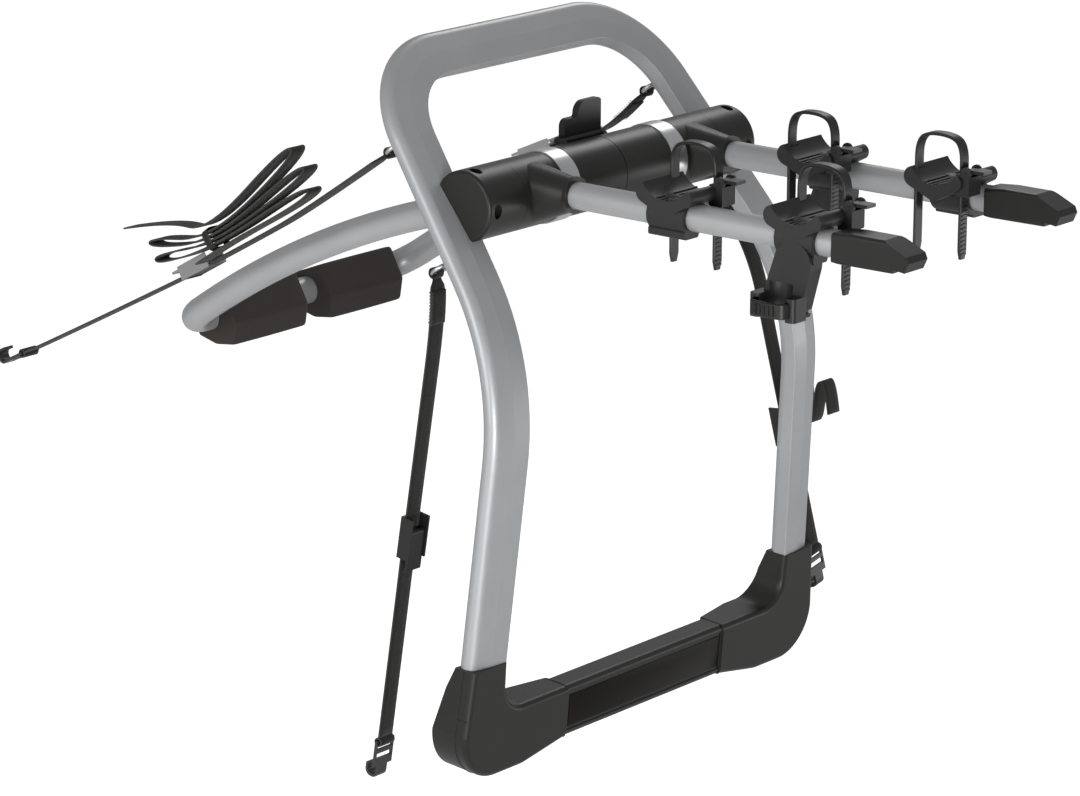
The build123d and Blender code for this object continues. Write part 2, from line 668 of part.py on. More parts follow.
for place, (side, out) in cradle_places.items():
    arm_axis = Plane(origin=(side * arm_half, -out, arm_rise), x_dir=(1, 0, 0), z_dir=(0, -1, 0))
    inner_face = arm_half - cradle_inner
    outer_face = arm_half + cradle_outer
    body_view = arm_view(side, out, 0)
    low_x = min(side * inner_face, side * outer_face)
    high_x = max(side * inner_face, side * outer_face)
    strap_x = side * (arm_half - strap_offset)
    with BuildPart() as cradle:
        with BuildSketch(arm_axis.offset(-cradle_length / 2)):
            Circle(arm_radius + cradle_wall)
            with Locations((side * cradle_jaw / 2, -arm_radius - cradle_wall / 2)):
                RectangleRounded(2 * cradle_jaw + cradle_wall, cradle_jaw, cradle_wall / 2)
        extrude(amount=cradle_length)
        with BuildSketch(body_view.offset(-high_x)):
            with Locations((-cradle_knob_offset, cradle_floor + cradle_knob_radius / 2)):
                Circle(cradle_knob_radius)
            with Locations((cradle_knob_offset, cradle_floor + cradle_knob_radius / 2)):
                Circle(cradle_knob_radius * 0.75)
            with Locations((0, cradle_jaw)):
                Circle(cradle_jaw)
            make_hull()
            with Locations((0, trough_rise)):
                Circle(trough_radius, mode=Mode.SUBTRACT)
            for rib in range(cradle_rib_count):
                lean = (rib - (cradle_rib_count - 1) / 2) * 2 * cradle_rib_width / trough_radius
                with Locations((trough_radius * sin(lean), trough_rise - trough_radius * cos(lean))):
                    Circle(cradle_rib_width / 2)
        extrude(amount=high_x - low_x)
        with BuildSketch(body_view.offset(-strap_x - buckle_width / 2)):
            with Locations((buckle_start + buckle_depth / 2, buckle_base + buckle_height / 2)):
                RectangleRounded(buckle_depth, buckle_height, buckle_wall)
            with Locations((pawl_pin_out, pawl_pin_rise)):
                Circle(pawl_eye_radius + buckle_wall)
        extrude(amount=buckle_width)
        # Room for the pawl between the buckle's cheeks
        with BuildSketch(body_view.offset(-strap_x - buckle_width / 2 + buckle_wall)):
            with Locations((pawl_pin_out, pawl_pin_rise)):
                Circle(pawl_eye_radius + thrust_gap)
                Rectangle(2 * buckle_depth, 2 * (pawl_eye_radius + thrust_gap), align=(Align.MIN, Align.CENTER))
                Rectangle(4 * pawl_eye_radius, 2 * buckle_wall + pawl_eye_radius, align=(Align.CENTER, Align.MIN))
        extrude(amount=buckle_width - 2 * buckle_wall, mode=Mode.SUBTRACT)
        with BuildSketch(body_view.offset(-strap_x - buckle_width / 2 - overrun)):
            with Locations((pawl_pin_out, pawl_pin_rise)):
                Circle(pawl_pin_radius)
        extrude(amount=buckle_width + 2 * overrun, mode=Mode.SUBTRACT)
        # Slots that the strap runs through, and the bore for the arm
        with BuildSketch(Plane(origin=(strap_x, -out, arm_rise), x_dir=(1, 0, 0), z_dir=(0, 0, 1))):
            with Locations((0, strap_leg), (0, -strap_leg)):
                Rectangle(strap_width + 2 * strap_slot_gap, strap_thickness + 2 * strap_slot_gap)
        extrude(amount=strap_top, both=True, mode=Mode.SUBTRACT)
        with BuildSketch(arm_axis.offset(-cradle_length)):
            Circle(arm_radius + tube_fit)
        extrude(amount=2 * cradle_length, mode=Mode.SUBTRACT)
    write_piece(cradle.part, f"cradle_{place}")

    with BuildPart() as cradle_strap:
        strap_view = arm_view(side, out, arm_half - strap_offset)
        with BuildLine(strap_view) as strap_line:
            FilletPolyline((-strap_leg, -strap_tail), (-strap_leg, strap_top - strap_thickness / 2),
                           (strap_leg, strap_top - strap_thickness / 2), (strap_leg, -strap_tail),
                           radius=strap_leg * strap_round_share)
        with BuildSketch(Plane(origin=strap_view.from_local_coords((-strap_leg, -strap_tail)),
                               x_dir=(1, 0, 0), z_dir=(0, 0, 1))):
            Rectangle(strap_width, strap_thickness)
        sweep(path=strap_line.line)
    write_piece(cradle_strap.part, f"cradle_strap_{place}")

    with BuildPart() as pawl:
        pawl_width = buckle_width - 2 * buckle_wall - 2 * thrust_gap
        with BuildSketch(body_view.offset(-strap_x - pawl_width / 2)):
            with Locations((pawl_pin_out, pawl_pin_rise)):
                Circle(pawl_eye_radius)
                with Locations((0, pawl_eye_radius - pawl_thickness)):
                    Rectangle(pawl_length, pawl_thickness, align=(Align.MIN, Align.MIN))
        extrude(amount=pawl_width)
        with BuildSketch(body_view.offset(-strap_x - buckle_width / 2)):
            with Locations((pawl_pin_out, pawl_pin_rise)):
                Circle(pawl_pin_radius - running_gap)
        extrude(amount=buckle_width)
    write_piece(pawl.part, f"cradle_pawl_{place}")


# Anti-sway arms: they hang from a cradle and strap the bike's seat tube

sway_foot_out = -sway_drop * tan(radians(sway_lean))
sway_outer = arm_half + cradle_outer
sway_axis = sway_outer + sway_seat_offset
for place, side in sway_places.items():
    out = cradle_places[place][1]
    body_view = arm_view(side, out, 0)
    arm_axis = Plane(origin=(side * arm_half, -out, arm_rise), x_dir=(1, 0, 0), z_dir=(0, -1, 0))
    start_x = max(side * sway_outer, side * (sway_outer - sway_thickness))
    seat_low = arm_rise - sway_drop - sway_seat_height / 2
    seat_plane = Plane(origin=(side * sway_axis, -out - sway_foot_out, seat_low), x_dir=(side, 0, 0),
                       z_dir=(0, 0, 1))
    jaw_middle = sway_seat_radius + sway_jaw_width / 2
    with BuildPart() as sway_arm:
        with BuildSketch(body_view.offset(-start_x)):
            with Locations((0, -sway_width / 2 - seat_gap)):
                Circle(sway_width / 2)
            with Locations((sway_foot_out, -sway_drop)):
                Rectangle(sway_foot_width, sway_seat_height)
            make_hull()
        extrude(amount=sway_thickness)
        # Seat: a half ring about an upright axis, open outwards, with a jaw at each end for the strap
        with BuildSketch(seat_plane):
            Circle(sway_seat_radius + sway_seat_wall)
            Rectangle(sway_drop, sway_drop, align=(Align.MIN, Align.CENTER), mode=Mode.SUBTRACT)
            with Locations((0, jaw_middle), (0, -jaw_middle)):
                RectangleRounded(sway_jaw_length, sway_jaw_width, sway_seat_wall / 2)
        extrude(amount=sway_seat_height)
        with BuildSketch(seat_plane.offset(-overrun)):
            Circle(sway_seat_radius)
        extrude(amount=sway_seat_height + overrun + sway_seat_relief, mode=Mode.SUBTRACT)
        # Slot that the strap lies in, through both jaws and round their outer ends
        strap_low = (sway_seat_height - sway_strap_width) / 2 - strap_slot_gap
        slot_half = sway_strap_thickness / 2 + strap_slot_gap
        with BuildSketch(seat_plane.offset(strap_low)):
            for reach, mode in ((jaw_middle + slot_half, Mode.ADD), (jaw_middle - slot_half, Mode.SUBTRACT)):
                Circle(reach, mode=mode)
                Rectangle(2 * sway_jaw_length, 2 * reach, align=(Align.MAX, Align.CENTER), mode=mode)
        extrude(amount=sway_strap_width + 2 * strap_slot_gap, mode=Mode.SUBTRACT)
        with BuildSketch(arm_axis.offset(-cradle_length)):
            Circle(arm_radius + cradle_wall + tube_fit)
            with Locations((side * cradle_jaw / 2, -arm_radius - cradle_wall / 2)):
                Rectangle(2 * cradle_jaw + cradle_wall + 2 * tube_fit, cradle_jaw + 2 * tube_fit)
        extrude(amount=2 * cradle_length, mode=Mode.SUBTRACT)
    write_piece(sway_arm.part, f"sway_arm_{place}")

    # The strap closes the seat on its open side
    tail_length = sway_jaw_length / 2
    strap_plane = seat_plane.offset(sway_seat_height / 2)
    strap_start = strap_plane.from_local_coords((-tail_length, -jaw_middle))
    with BuildPart() as sway_strap:
        with BuildLine(strap_plane) as loop_path:
            FilletPolyline((-tail_length, -jaw_middle), (jaw_middle, -jaw_middle), (jaw_middle, jaw_middle),
                           (-tail_length, jaw_middle), radius=jaw_middle * strap_round_share)
        with BuildSketch(Plane(origin=strap_start, x_dir=(0, 0, 1), z_dir=(side, 0, 0))):
            Rectangle(sway_strap_width, sway_strap_thickness)
        sweep(path=loop_path.line)
    write_piece(sway_strap.part, f"sway_strap_{place}")
print("sway seat axis, out from the hub, back from the arm and up", round(sway_axis, 2),
      round(-sway_foot_out, 2), round(arm_rise - sway_drop, 2))


# Eyes on the rails, one for each webbing strap

def eye_frame(side, rise, offset):
    """Plane on a rail's car side at an eye: local z points away from the rail."""
    return Plane(origin=upper_rail_point(side, rise, offset, rail_depth), x_dir=(1, 0, 0), z_dir=lean_front)


eye_planes = {"top_left": eye_frame(-1, top_ring_rise, top_ring_offset),
              "top_right": eye_frame(1, top_ring_rise, top_ring_offset),
              "side_left": eye_frame(-1, side_ring_rise, side_ring_offset),
              "side_right": eye_frame(1, side_ring_rise, side_ring_offset)}
eye_reach = ring_flange + ring_shank + ring_inner
with BuildPart() as strap_eyes:
    for plane in eye_planes.values():
        with BuildSketch(plane):
            Circle(ring_flange_radius)
        extrude(amount=ring_flange)
        with BuildSketch(plane):
            Circle(ring_wire)
        extrude(amount=ring_flange + ring_shank)
        with BuildSketch(Plane(origin=plane.from_local_coords((0, 0, eye_reach)), x_dir=plane.x_dir,
                               z_dir=plane.z_dir)):
            with Locations((ring_inner + ring_wire, 0)):
                Circle(ring_wire)
        revolve(axis=Axis(plane.from_local_coords((0, 0, eye_reach)), plane.y_dir), revolution_arc=360)
write_piece(strap_eyes.part, "strap_eyes")


# Webbing straps: each runs from its eye to a cam buckle, and from the buckle to a hook

def across(run):
    """Unit width direction of flat webbing whose line runs this way."""
    return (Vector(1, 0, 0) - run * run.X).normalized()


def strap_view(point, run, facing):
    """Side view at a point of a strap: local x runs along it, local y stands out from it."""
    return Plane(origin=point, x_dir=run, z_dir=across(run) * facing)


def bend_radii(points):
    """Arc radius at each inner point of a line, from its shorter run and its turn."""
    radii = []
    for before, point, after in zip(points, points[1:], points[2:]):
        half_turn = radians((point - before).get_angle(after - point)) / 2
        shorter = min((point - before).length, (after - point).length)
        radii.append(web_bend_share * shorter / tan(half_turn))
    return radii


def webbing_part(points, start_bore, start_width, end_bore=0):
    """Flat webbing along points, with a sewn loop at its start and, with a bore, at its end."""
    first_run = (points[1] - points[0]).normalized()
    last_run = (points[-1] - points[-2]).normalized()
    line_points = list(points)
    if start_bore:
        line_points[0] = points[0] + first_run * (start_bore + web_thickness / 2)
    if end_bore:
        line_points[-1] = points[-1] - last_run * (end_bore + web_thickness / 2)
    with BuildPart() as webbing:
        with BuildLine() as web_line:
            if len(line_points) > 2:
                FilletPolyline(*line_points, radius=bend_radii(line_points))
            else:
                Line(line_points[0], line_points[1])
        with BuildSketch(Plane(origin=line_points[0], x_dir=across(last_run), z_dir=first_run)):
            Rectangle(web_width, web_thickness)
        sweep(path=web_line.wire())
        start_axis = across(last_run) if start_width == web_width else Vector(1, 0, 0)
        for point, axis, bore, width in ((points[0], start_axis, start_bore, start_width),
                                         (points[-1], across(last_run), end_bore, web_width)):
            if bore:
                with BuildSketch(Plane(origin=point, z_dir=axis)):
                    Circle(bore + web_thickness)
                extrude(amount=width / 2, both=True)
                with BuildSketch(Plane(origin=point, z_dir=axis)):
                    Circle(bore)
                extrude(amount=width / 2, both=True, mode=Mode.SUBTRACT)
    return webbing.part


def hank_part(points, side_x):
    """Spare webbing folded to and fro in a plane across X."""
    line_points = [Vector(side_x, y, z) for y, z in points]
    first_run = (line_points[1] - line_points[0]).normalized()
    print("hank arc radii", [round(radius) for radius in bend_radii(line_points)])
    with BuildPart() as hank:
        with BuildLine() as hank_line:
            FilletPolyline(*line_points, radius=bend_radii(line_points))
        with BuildSketch(Plane(origin=line_points[0], x_dir=(1, 0, 0), z_dir=first_run)):
            Rectangle(web_width, web_thickness)
        sweep(path=hank_line.wire())
    line = hank_line.wire()
    count = int(line.length / web_thickness)
    samples = [line.position_at(step / count) for step in range(count + 1)]
    apart = int(web_width / web_thickness)
    least = min((samples[i] - samples[j]).length
                for i in range(0, count + 1) for j in range(i + apart, count + 1))
    print("hank: length %.0f, least gap to itself %.2f" % (line.length, least - web_thickness))
    return hank.part


strap_ends = {"top_left": (top_left_run, top_left_hook), "top_right": (top_right_run, top_right_hook),
              "side_left": (side_left_run, side_left_hook), "side_right": (side_right_run, side_right_hook)}
hank_points = {"top_left": top_left_hank, "side_right": side_right_hank}
# The side of each strap that its cam lever stands on: 1 is the upper or car side
cam_facings = {"top_left": 1, "top_right": 1, "side_left": -1, "side_right": 1}
cam_pin_along = cam_length * cam_pin_share
cam_pin_height = web_thickness / 2 + seat_gap + cam_roller_radius
cam_floor = -web_thickness / 2 - seat_gap
lever_width = cam_width - 2 * cam_wall - 2 * thrust_gap
for name, (run_points, hook_point) in strap_ends.items():
    plane = eye_planes[name]
    side = 1 if plane.origin.X > 0 else -1
    eye = plane.from_local_coords((0, 0, eye_reach + ring_inner + web_eye_inset))
    if len(hook_point) == 2:
        run_points = [Vector(plane.origin.X, y, z) for y, z in run_points]
        hook_point = Vector(plane.origin.X, *hook_point)
    else:
        run_points = [Vector(point) for point in run_points]
        hook_point = Vector(hook_point)
    cam_start = run_points[-1]
    run = (cam_start - run_points[-2]).normalized()
    view = strap_view(cam_start, run, cam_facings[name])
    web_end = cam_start + run * (cam_pin_along + web_past_cam)
    main_points = [eye] + run_points[:-1] + [web_end]
    write_piece(webbing_part(main_points, web_eye_bore, web_eye_width), f"webbing_{name}")

    with BuildPart() as cam_frame:
        with BuildSketch(view):
            with Locations((0, cam_floor - cam_wall)):
                Rectangle(cam_length, cam_height + cam_wall - cam_floor, align=(Align.MIN, Align.MIN))
            with Locations((cam_pin_along, cam_pin_height)):
                Circle(cam_pin_radius, mode=Mode.SUBTRACT)
        extrude(amount=cam_width / 2, both=True)
        with BuildSketch(view):
            with Locations((-overrun, cam_floor)):
                Rectangle(cam_length + 2 * overrun, cam_height + overrun - cam_floor, align=(Align.MIN, Align.MIN))
            with Locations((cam_length - cam_floor_inset, 0)):
                Rectangle(cam_length, 2 * cam_height, align=(Align.MIN, Align.CENTER))
        extrude(amount=cam_width / 2 - cam_wall, both=True, mode=Mode.SUBTRACT)
        with BuildSketch(view):
            with Locations((cam_length - cam_bar_inset, 0)):
                Circle(cam_bar_radius)
        extrude(amount=cam_width / 2 - cam_wall / 2, both=True)
    write_piece(cam_frame.part, f"cam_frame_{name}")

    with BuildPart() as cam_lever:
        with BuildSketch(view):
            with Locations((cam_pin_along, cam_pin_height)):
                Circle(cam_roller_radius)
                with Locations((0, cam_roller_radius - cam_lever_thickness)):
                    Rectangle(cam_lever_length, cam_lever_thickness, align=(Align.MIN, Align.MIN))
        extrude(amount=lever_width / 2, both=True)
        with BuildSketch(view):
            with Locations((cam_pin_along, cam_pin_height)):
                Circle(cam_pin_radius - running_gap)
        extrude(amount=cam_width / 2, both=True)
    write_piece(cam_lever.part, f"cam_lever_{name}")
    pin = view.from_local_coords((cam_pin_along, cam_pin_height, 0))
    print("cam pin", name, "at", [round(value, 2) for value in pin], "across",
          [round(value, 4) for value in across(run)])

    bar_point = cam_start + run * (cam_length - cam_bar_inset)
    end_run = (hook_point - bar_point).normalized()
    end_piece = webbing_part([bar_point, hook_point], cam_bar_bore, web_width, hook_bar_bore)
    write_piece(end_piece, f"end_webbing_{name}")

    hook_normal = across(end_run).cross(end_run)
    plate_plane = Plane(origin=hook_point - hook_normal * (hook_thickness / 2), x_dir=across(end_run),
                        z_dir=hook_normal)
    plate_length = hook_bar * 2 + hook_slot * 2 + hook_foot
    with BuildPart() as hook:
        with BuildSketch(plate_plane):
            with Locations((0, -hook_bar / 2)):
                Rectangle(hook_width, plate_length, align=(Align.CENTER, Align.MIN))
            for slot_start in (hook_bar / 2, hook_bar * 3 / 2 + hook_slot):
                with Locations((0, slot_start)):
                    Rectangle(hook_slot_length, hook_slot, align=(Align.CENTER, Align.MIN), mode=Mode.SUBTRACT)
        extrude(amount=hook_thickness)
        neck_start = plate_length - hook_bar / 2 - hook_foot / 2
        neck_end = neck_start + hook_foot / 2 + hook_neck_length
        hook_view = strap_view(hook_point, end_run, 1)
        with BuildLine(hook_view) as hook_line:
            FilletPolyline((neck_start, 0), (neck_end, 0), (neck_end, hook_gape),
                           (neck_end - hook_lip, hook_gape), radius=hook_round)
        with BuildSketch(Plane(origin=hook_view.from_local_coords((neck_start, 0)), x_dir=across(end_run),
                               z_dir=end_run)):
            Rectangle(hook_neck_width, hook_thickness)
        sweep(path=hook_line.wire())
    write_piece(hook.part, f"hook_{name}")

    if name in hank_points:
        beside = abs(cam_start.X) + cam_width / 2 + hank_side_gap + web_width / 2
        if abs(run.X) > 0:
            beside += cam_length * abs(run.X)
        write_piece(hank_part(hank_points[name], side * beside), f"hank_{name}")
    print("webbing", name, "arc radii", [round(radius) for radius in bend_radii(main_points)])
print("lever pivot", [round(value, 2) for value in lever_pivot])
print("pawl pin out and up from its cradle", round(pawl_pin_out, 2), round(pawl_pin_rise + arm_rise, 2))
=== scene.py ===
import json
import math

import bmesh
import bpy
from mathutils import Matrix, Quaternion, Vector


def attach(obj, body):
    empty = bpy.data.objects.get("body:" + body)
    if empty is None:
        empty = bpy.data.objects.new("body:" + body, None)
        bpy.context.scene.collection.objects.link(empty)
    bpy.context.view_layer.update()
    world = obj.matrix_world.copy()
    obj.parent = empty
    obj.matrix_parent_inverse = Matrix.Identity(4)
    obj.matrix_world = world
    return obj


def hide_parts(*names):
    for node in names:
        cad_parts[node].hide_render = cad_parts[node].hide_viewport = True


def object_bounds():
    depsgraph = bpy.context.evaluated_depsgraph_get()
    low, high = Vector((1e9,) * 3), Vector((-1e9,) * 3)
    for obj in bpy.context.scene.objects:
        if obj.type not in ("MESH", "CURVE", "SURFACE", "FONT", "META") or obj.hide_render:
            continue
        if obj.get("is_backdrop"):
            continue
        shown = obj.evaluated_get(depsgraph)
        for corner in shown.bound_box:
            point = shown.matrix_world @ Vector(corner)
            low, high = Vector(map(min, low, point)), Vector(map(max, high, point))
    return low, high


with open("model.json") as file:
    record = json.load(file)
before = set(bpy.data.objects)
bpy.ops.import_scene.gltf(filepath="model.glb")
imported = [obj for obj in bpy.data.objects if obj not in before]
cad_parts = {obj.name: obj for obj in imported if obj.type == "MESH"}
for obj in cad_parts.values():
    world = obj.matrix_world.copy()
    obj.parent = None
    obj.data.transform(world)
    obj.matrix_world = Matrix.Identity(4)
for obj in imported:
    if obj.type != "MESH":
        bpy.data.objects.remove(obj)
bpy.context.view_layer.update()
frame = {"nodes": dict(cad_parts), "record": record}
nodes = frame["nodes"]
mm = 0.001


# Small helpers

def vec(x, y, z):
    return Vector((x, y, z)) * mm


def deselect():
    for item in bpy.context.selected_objects:
        item.select_set(False)


def makeActive(item):
    deselect()
    item.select_set(True)
    bpy.context.view_layer.objects.active = item


def smoothBy(item, degrees=35):
    makeActive(item)
    bpy.ops.object.shade_smooth_by_angle(angle=math.radians(degrees))


def applyAll(item):
    makeActive(item)
    for modifier in list(item.modifiers):
        bpy.ops.object.modifier_apply(modifier=modifier.name)


def addObject(name, mesh, materials, body):
    item = bpy.data.objects.new(name, mesh)
    bpy.context.scene.collection.objects.link(item)
    for material in materials:
        mesh.materials.append(material)
    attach(item, body)
    return item


def meshFromBm(name, bm, smooth=True):
    bmesh.ops.recalc_face_normals(bm, faces=bm.faces[:])
    mesh = bpy.data.meshes.new(name)
    bm.to_mesh(mesh)
    bm.free()
    for polygon in mesh.polygons:
        polygon.use_smooth = smooth
    return mesh


def softenEdges(item, width):
    bevel = item.modifiers.new("round", "BEVEL")
    bevel.width = width
    bevel.segments = 2
    bevel.limit_method = "ANGLE"
    bevel.angle_limit = math.radians(30)
    bevel.harden_normals = False
    applyAll(item)
    smoothBy(item)


# Quads between two closed rings of vertices
def joinRings(bm, first, second):
    size = len(first)
    for k in range(size):
        bm.faces.new([first[k], first[(k + 1) % size], second[(k + 1) % size], second[k]])


# Materials: a shared node group for fine grain and for roughness and colour that vary

def makeGrainGroup():
    group = bpy.data.node_groups.new("surfaceGrain", "ShaderNodeTree")
    face = group.interface
    face.new_socket("Vector", in_out="INPUT", socket_type="NodeSocketVector")
    for name, value in (("Scale", 900.0), ("Strength", 0.2), ("Distance", 0.0002), ("Roughness", 0.5),
                        ("Variation", 0.08)):
        socket = face.new_socket(name, in_out="INPUT", socket_type="NodeSocketFloat")
        socket.default_value = value
    face.new_socket("Normal", in_out="OUTPUT", socket_type="NodeSocketVector")
    face.new_socket("Roughness", in_out="OUTPUT", socket_type="NodeSocketFloat")
    face.new_socket("Mottle", in_out="OUTPUT", socket_type="NodeSocketFloat")
    tree = group.nodes
    links = group.links
    start = tree.new("NodeGroupInput")
    end = tree.new("NodeGroupOutput")
    fine = tree.new("ShaderNodeTexNoise")
    fine.inputs["Detail"].default_value = 4.0
    broad = tree.new("ShaderNodeTexNoise")
    broad.inputs["Scale"].default_value = 14.0
    broad.inputs["Detail"].default_value = 3.0
    bump = tree.new("ShaderNodeBump")
    spread = tree.new("ShaderNodeMath")
    spread.operation = "SUBTRACT"
    spread.inputs[1].default_value = 0.5
    scaled = tree.new("ShaderNodeMath")
    scaled.operation = "MULTIPLY_ADD"
    links.new(start.outputs["Vector"], fine.inputs["Vector"])
    links.new(start.outputs["Scale"], fine.inputs["Scale"])
    links.new(start.outputs["Vector"], broad.inputs["Vector"])
    links.new(fine.outputs["Fac"], bump.inputs["Height"])
    links.new(start.outputs["Strength"], bump.inputs["Strength"])
    links.new(start.outputs["Distance"], bump.inputs["Distance"])
    links.new(broad.outputs["Fac"], spread.inputs[0])
    links.new(spread.outputs[0], scaled.inputs[0])
    links.new(start.outputs["Variation"], scaled.inputs[1])
    links.new(start.outputs["Roughness"], scaled.inputs[2])
    links.new(bump.outputs["Normal"], end.inputs["Normal"])
    links.new(scaled.outputs[0], end.inputs["Roughness"])
    links.new(broad.outputs["Fac"], end.inputs["Mottle"])
    return group


grainGroup = makeGrainGroup()


# A finish whose colour drifts from dark to light, with fine grain in its bump
def newMaterial(name, dark, light, roughness, metallic=0.0, scale=900.0, strength=0.2, distance=0.0002,
                variation=0.1, coat=0.0, sheen=0.0, stretch=None, specular=0.5):
    material = bpy.data.materials.new(name)
    material.use_nodes = True
    tree = material.node_tree.nodes
    links = material.node_tree.links
    shader = tree["Principled BSDF"]
    place = tree.new("ShaderNodeTexCoord")
    source = place.outputs["Object"]
    if stretch:
        mapping = tree.new("ShaderNodeMapping")
        mapping.inputs["Scale"].default_value = stretch
        links.new(source, mapping.inputs["Vector"])
        source = mapping.outputs["Vector"]
    grain = tree.new("ShaderNodeGroup")
    grain.node_tree = grainGroup
    links.new(source, grain.inputs["Vector"])
    for key, value in (("Scale", scale), ("Strength", strength), ("Distance", distance),
                       ("Roughness", roughness), ("Variation", variation)):
        grain.inputs[key].default_value = value
    mix = tree.new("ShaderNodeMix")
    mix.data_type = "RGBA"
    mix.inputs["A"].default_value = (*dark, 1)
    mix.inputs["B"].default_value = (*light, 1)
    links.new(grain.outputs["Mottle"], mix.inputs["Factor"])
    links.new(mix.outputs["Result"], shader.inputs["Base Color"])
    links.new(grain.outputs["Roughness"], shader.inputs["Roughness"])
    links.new(grain.outputs["Normal"], shader.inputs["Normal"])
    shader.inputs["Metallic"].default_value = metallic
    shader.inputs["Coat Weight"].default_value = coat
    shader.inputs["Sheen Weight"].default_value = sheen
    shader.inputs["Specular IOR Level"].default_value = specular
    return material


# low and high are the webbing's colour in the weave's hollows and on its raised threads: painted shade in the
# hollows, painted highlight on the raised threads
weaveSpec = {"rowPitch": 1.9, "pickPitch": 1.3, "strength": 0.55, "distance": 0.0003,
             "low": (0.006, 0.0056, 0.005), "high": (0.016, 0.0148, 0.0135), "rim": (0.036, 0.034, 0.031),
             "rimFrom": 10.8, "rimTo": 12.3, "roughness": 0.72, "sheen": 0.1, "specular": 0.2}


# Woven strap: ribs across it and warp rows along it, read from the strap's own UV in millimetres
def makeWebbingMaterial():
    material = bpy.data.materials.new("wovenWebbing")
    material.use_nodes = True
    tree = material.node_tree.nodes
    links = material.node_tree.links
    shader = tree["Principled BSDF"]
    place = tree.new("ShaderNodeUVMap")
    place.uv_map = "strapUv"
    split = tree.new("ShaderNodeSeparateXYZ")
    links.new(place.outputs["UV"], split.inputs["Vector"])

    def ripple(output, pitch):
        scaled = tree.new("ShaderNodeMath")
        scaled.operation = "MULTIPLY"
        scaled.inputs[1].default_value = 2 * math.pi / pitch
        wave = tree.new("ShaderNodeMath")
        wave.operation = "SINE"
        links.new(output, scaled.inputs[0])
        links.new(scaled.outputs[0], wave.inputs[0])
        return wave.outputs[0]

    rows = ripple(split.outputs["X"], weaveSpec["rowPitch"])
    picks = ripple(split.outputs["Y"], weaveSpec["pickPitch"])
    weave = tree.new("ShaderNodeMath")
    weave.operation = "MULTIPLY"
    links.new(rows, weave.inputs[0])
    links.new(picks, weave.inputs[1])
    bump = tree.new("ShaderNodeBump")
    bump.inputs["Strength"].default_value = weaveSpec["strength"]
    bump.inputs["Distance"].default_value = weaveSpec["distance"]
    links.new(weave.outputs[0], bump.inputs["Height"])
    # The colour follows the same weave as the bump: painted shade where the weave is low, painted highlight
    # where it is raised
    level = tree.new("ShaderNodeMapRange")
    level.inputs["From Min"].default_value = -1.0
    level.inputs["From Max"].default_value = 1.0
    links.new(weave.outputs[0], level.inputs["Value"])
    mix = tree.new("ShaderNodeMix")
    mix.data_type = "RGBA"
    mix.inputs["A"].default_value = (*weaveSpec["low"], 1)
    mix.inputs["B"].default_value = (*weaveSpec["high"], 1)
    links.new(level.outputs["Result"], mix.inputs["Factor"])
    # The edge of the webbing is a little paler than its face
    edge = tree.new("ShaderNodeMath")
    edge.operation = "ABSOLUTE"
    links.new(split.outputs["X"], edge.inputs[0])
    edgeLevel = tree.new("ShaderNodeMapRange")
    edgeLevel.inputs["From Min"].default_value = weaveSpec["rimFrom"]
    edgeLevel.inputs["From Max"].default_value = weaveSpec["rimTo"]
    links.new(edge.outputs[0], edgeLevel.inputs["Value"])
    rim = tree.new("ShaderNodeMix")
    rim.data_type = "RGBA"
    rim.inputs["B"].default_value = (*weaveSpec["rim"], 1)
    links.new(edgeLevel.outputs["Result"], rim.inputs["Factor"])
    links.new(mix.outputs["Result"], rim.inputs["A"])
    links.new(rim.outputs["Result"], shader.inputs["Base Color"])
    links.new(bump.outputs["Normal"], shader.inputs["Normal"])
    shader.inputs["Roughness"].default_value = weaveSpec["roughness"]
    shader.inputs["Sheen Weight"].default_value = weaveSpec["sheen"]
    shader.inputs["Specular IOR Level"].default_value = weaveSpec["specular"]
    return material


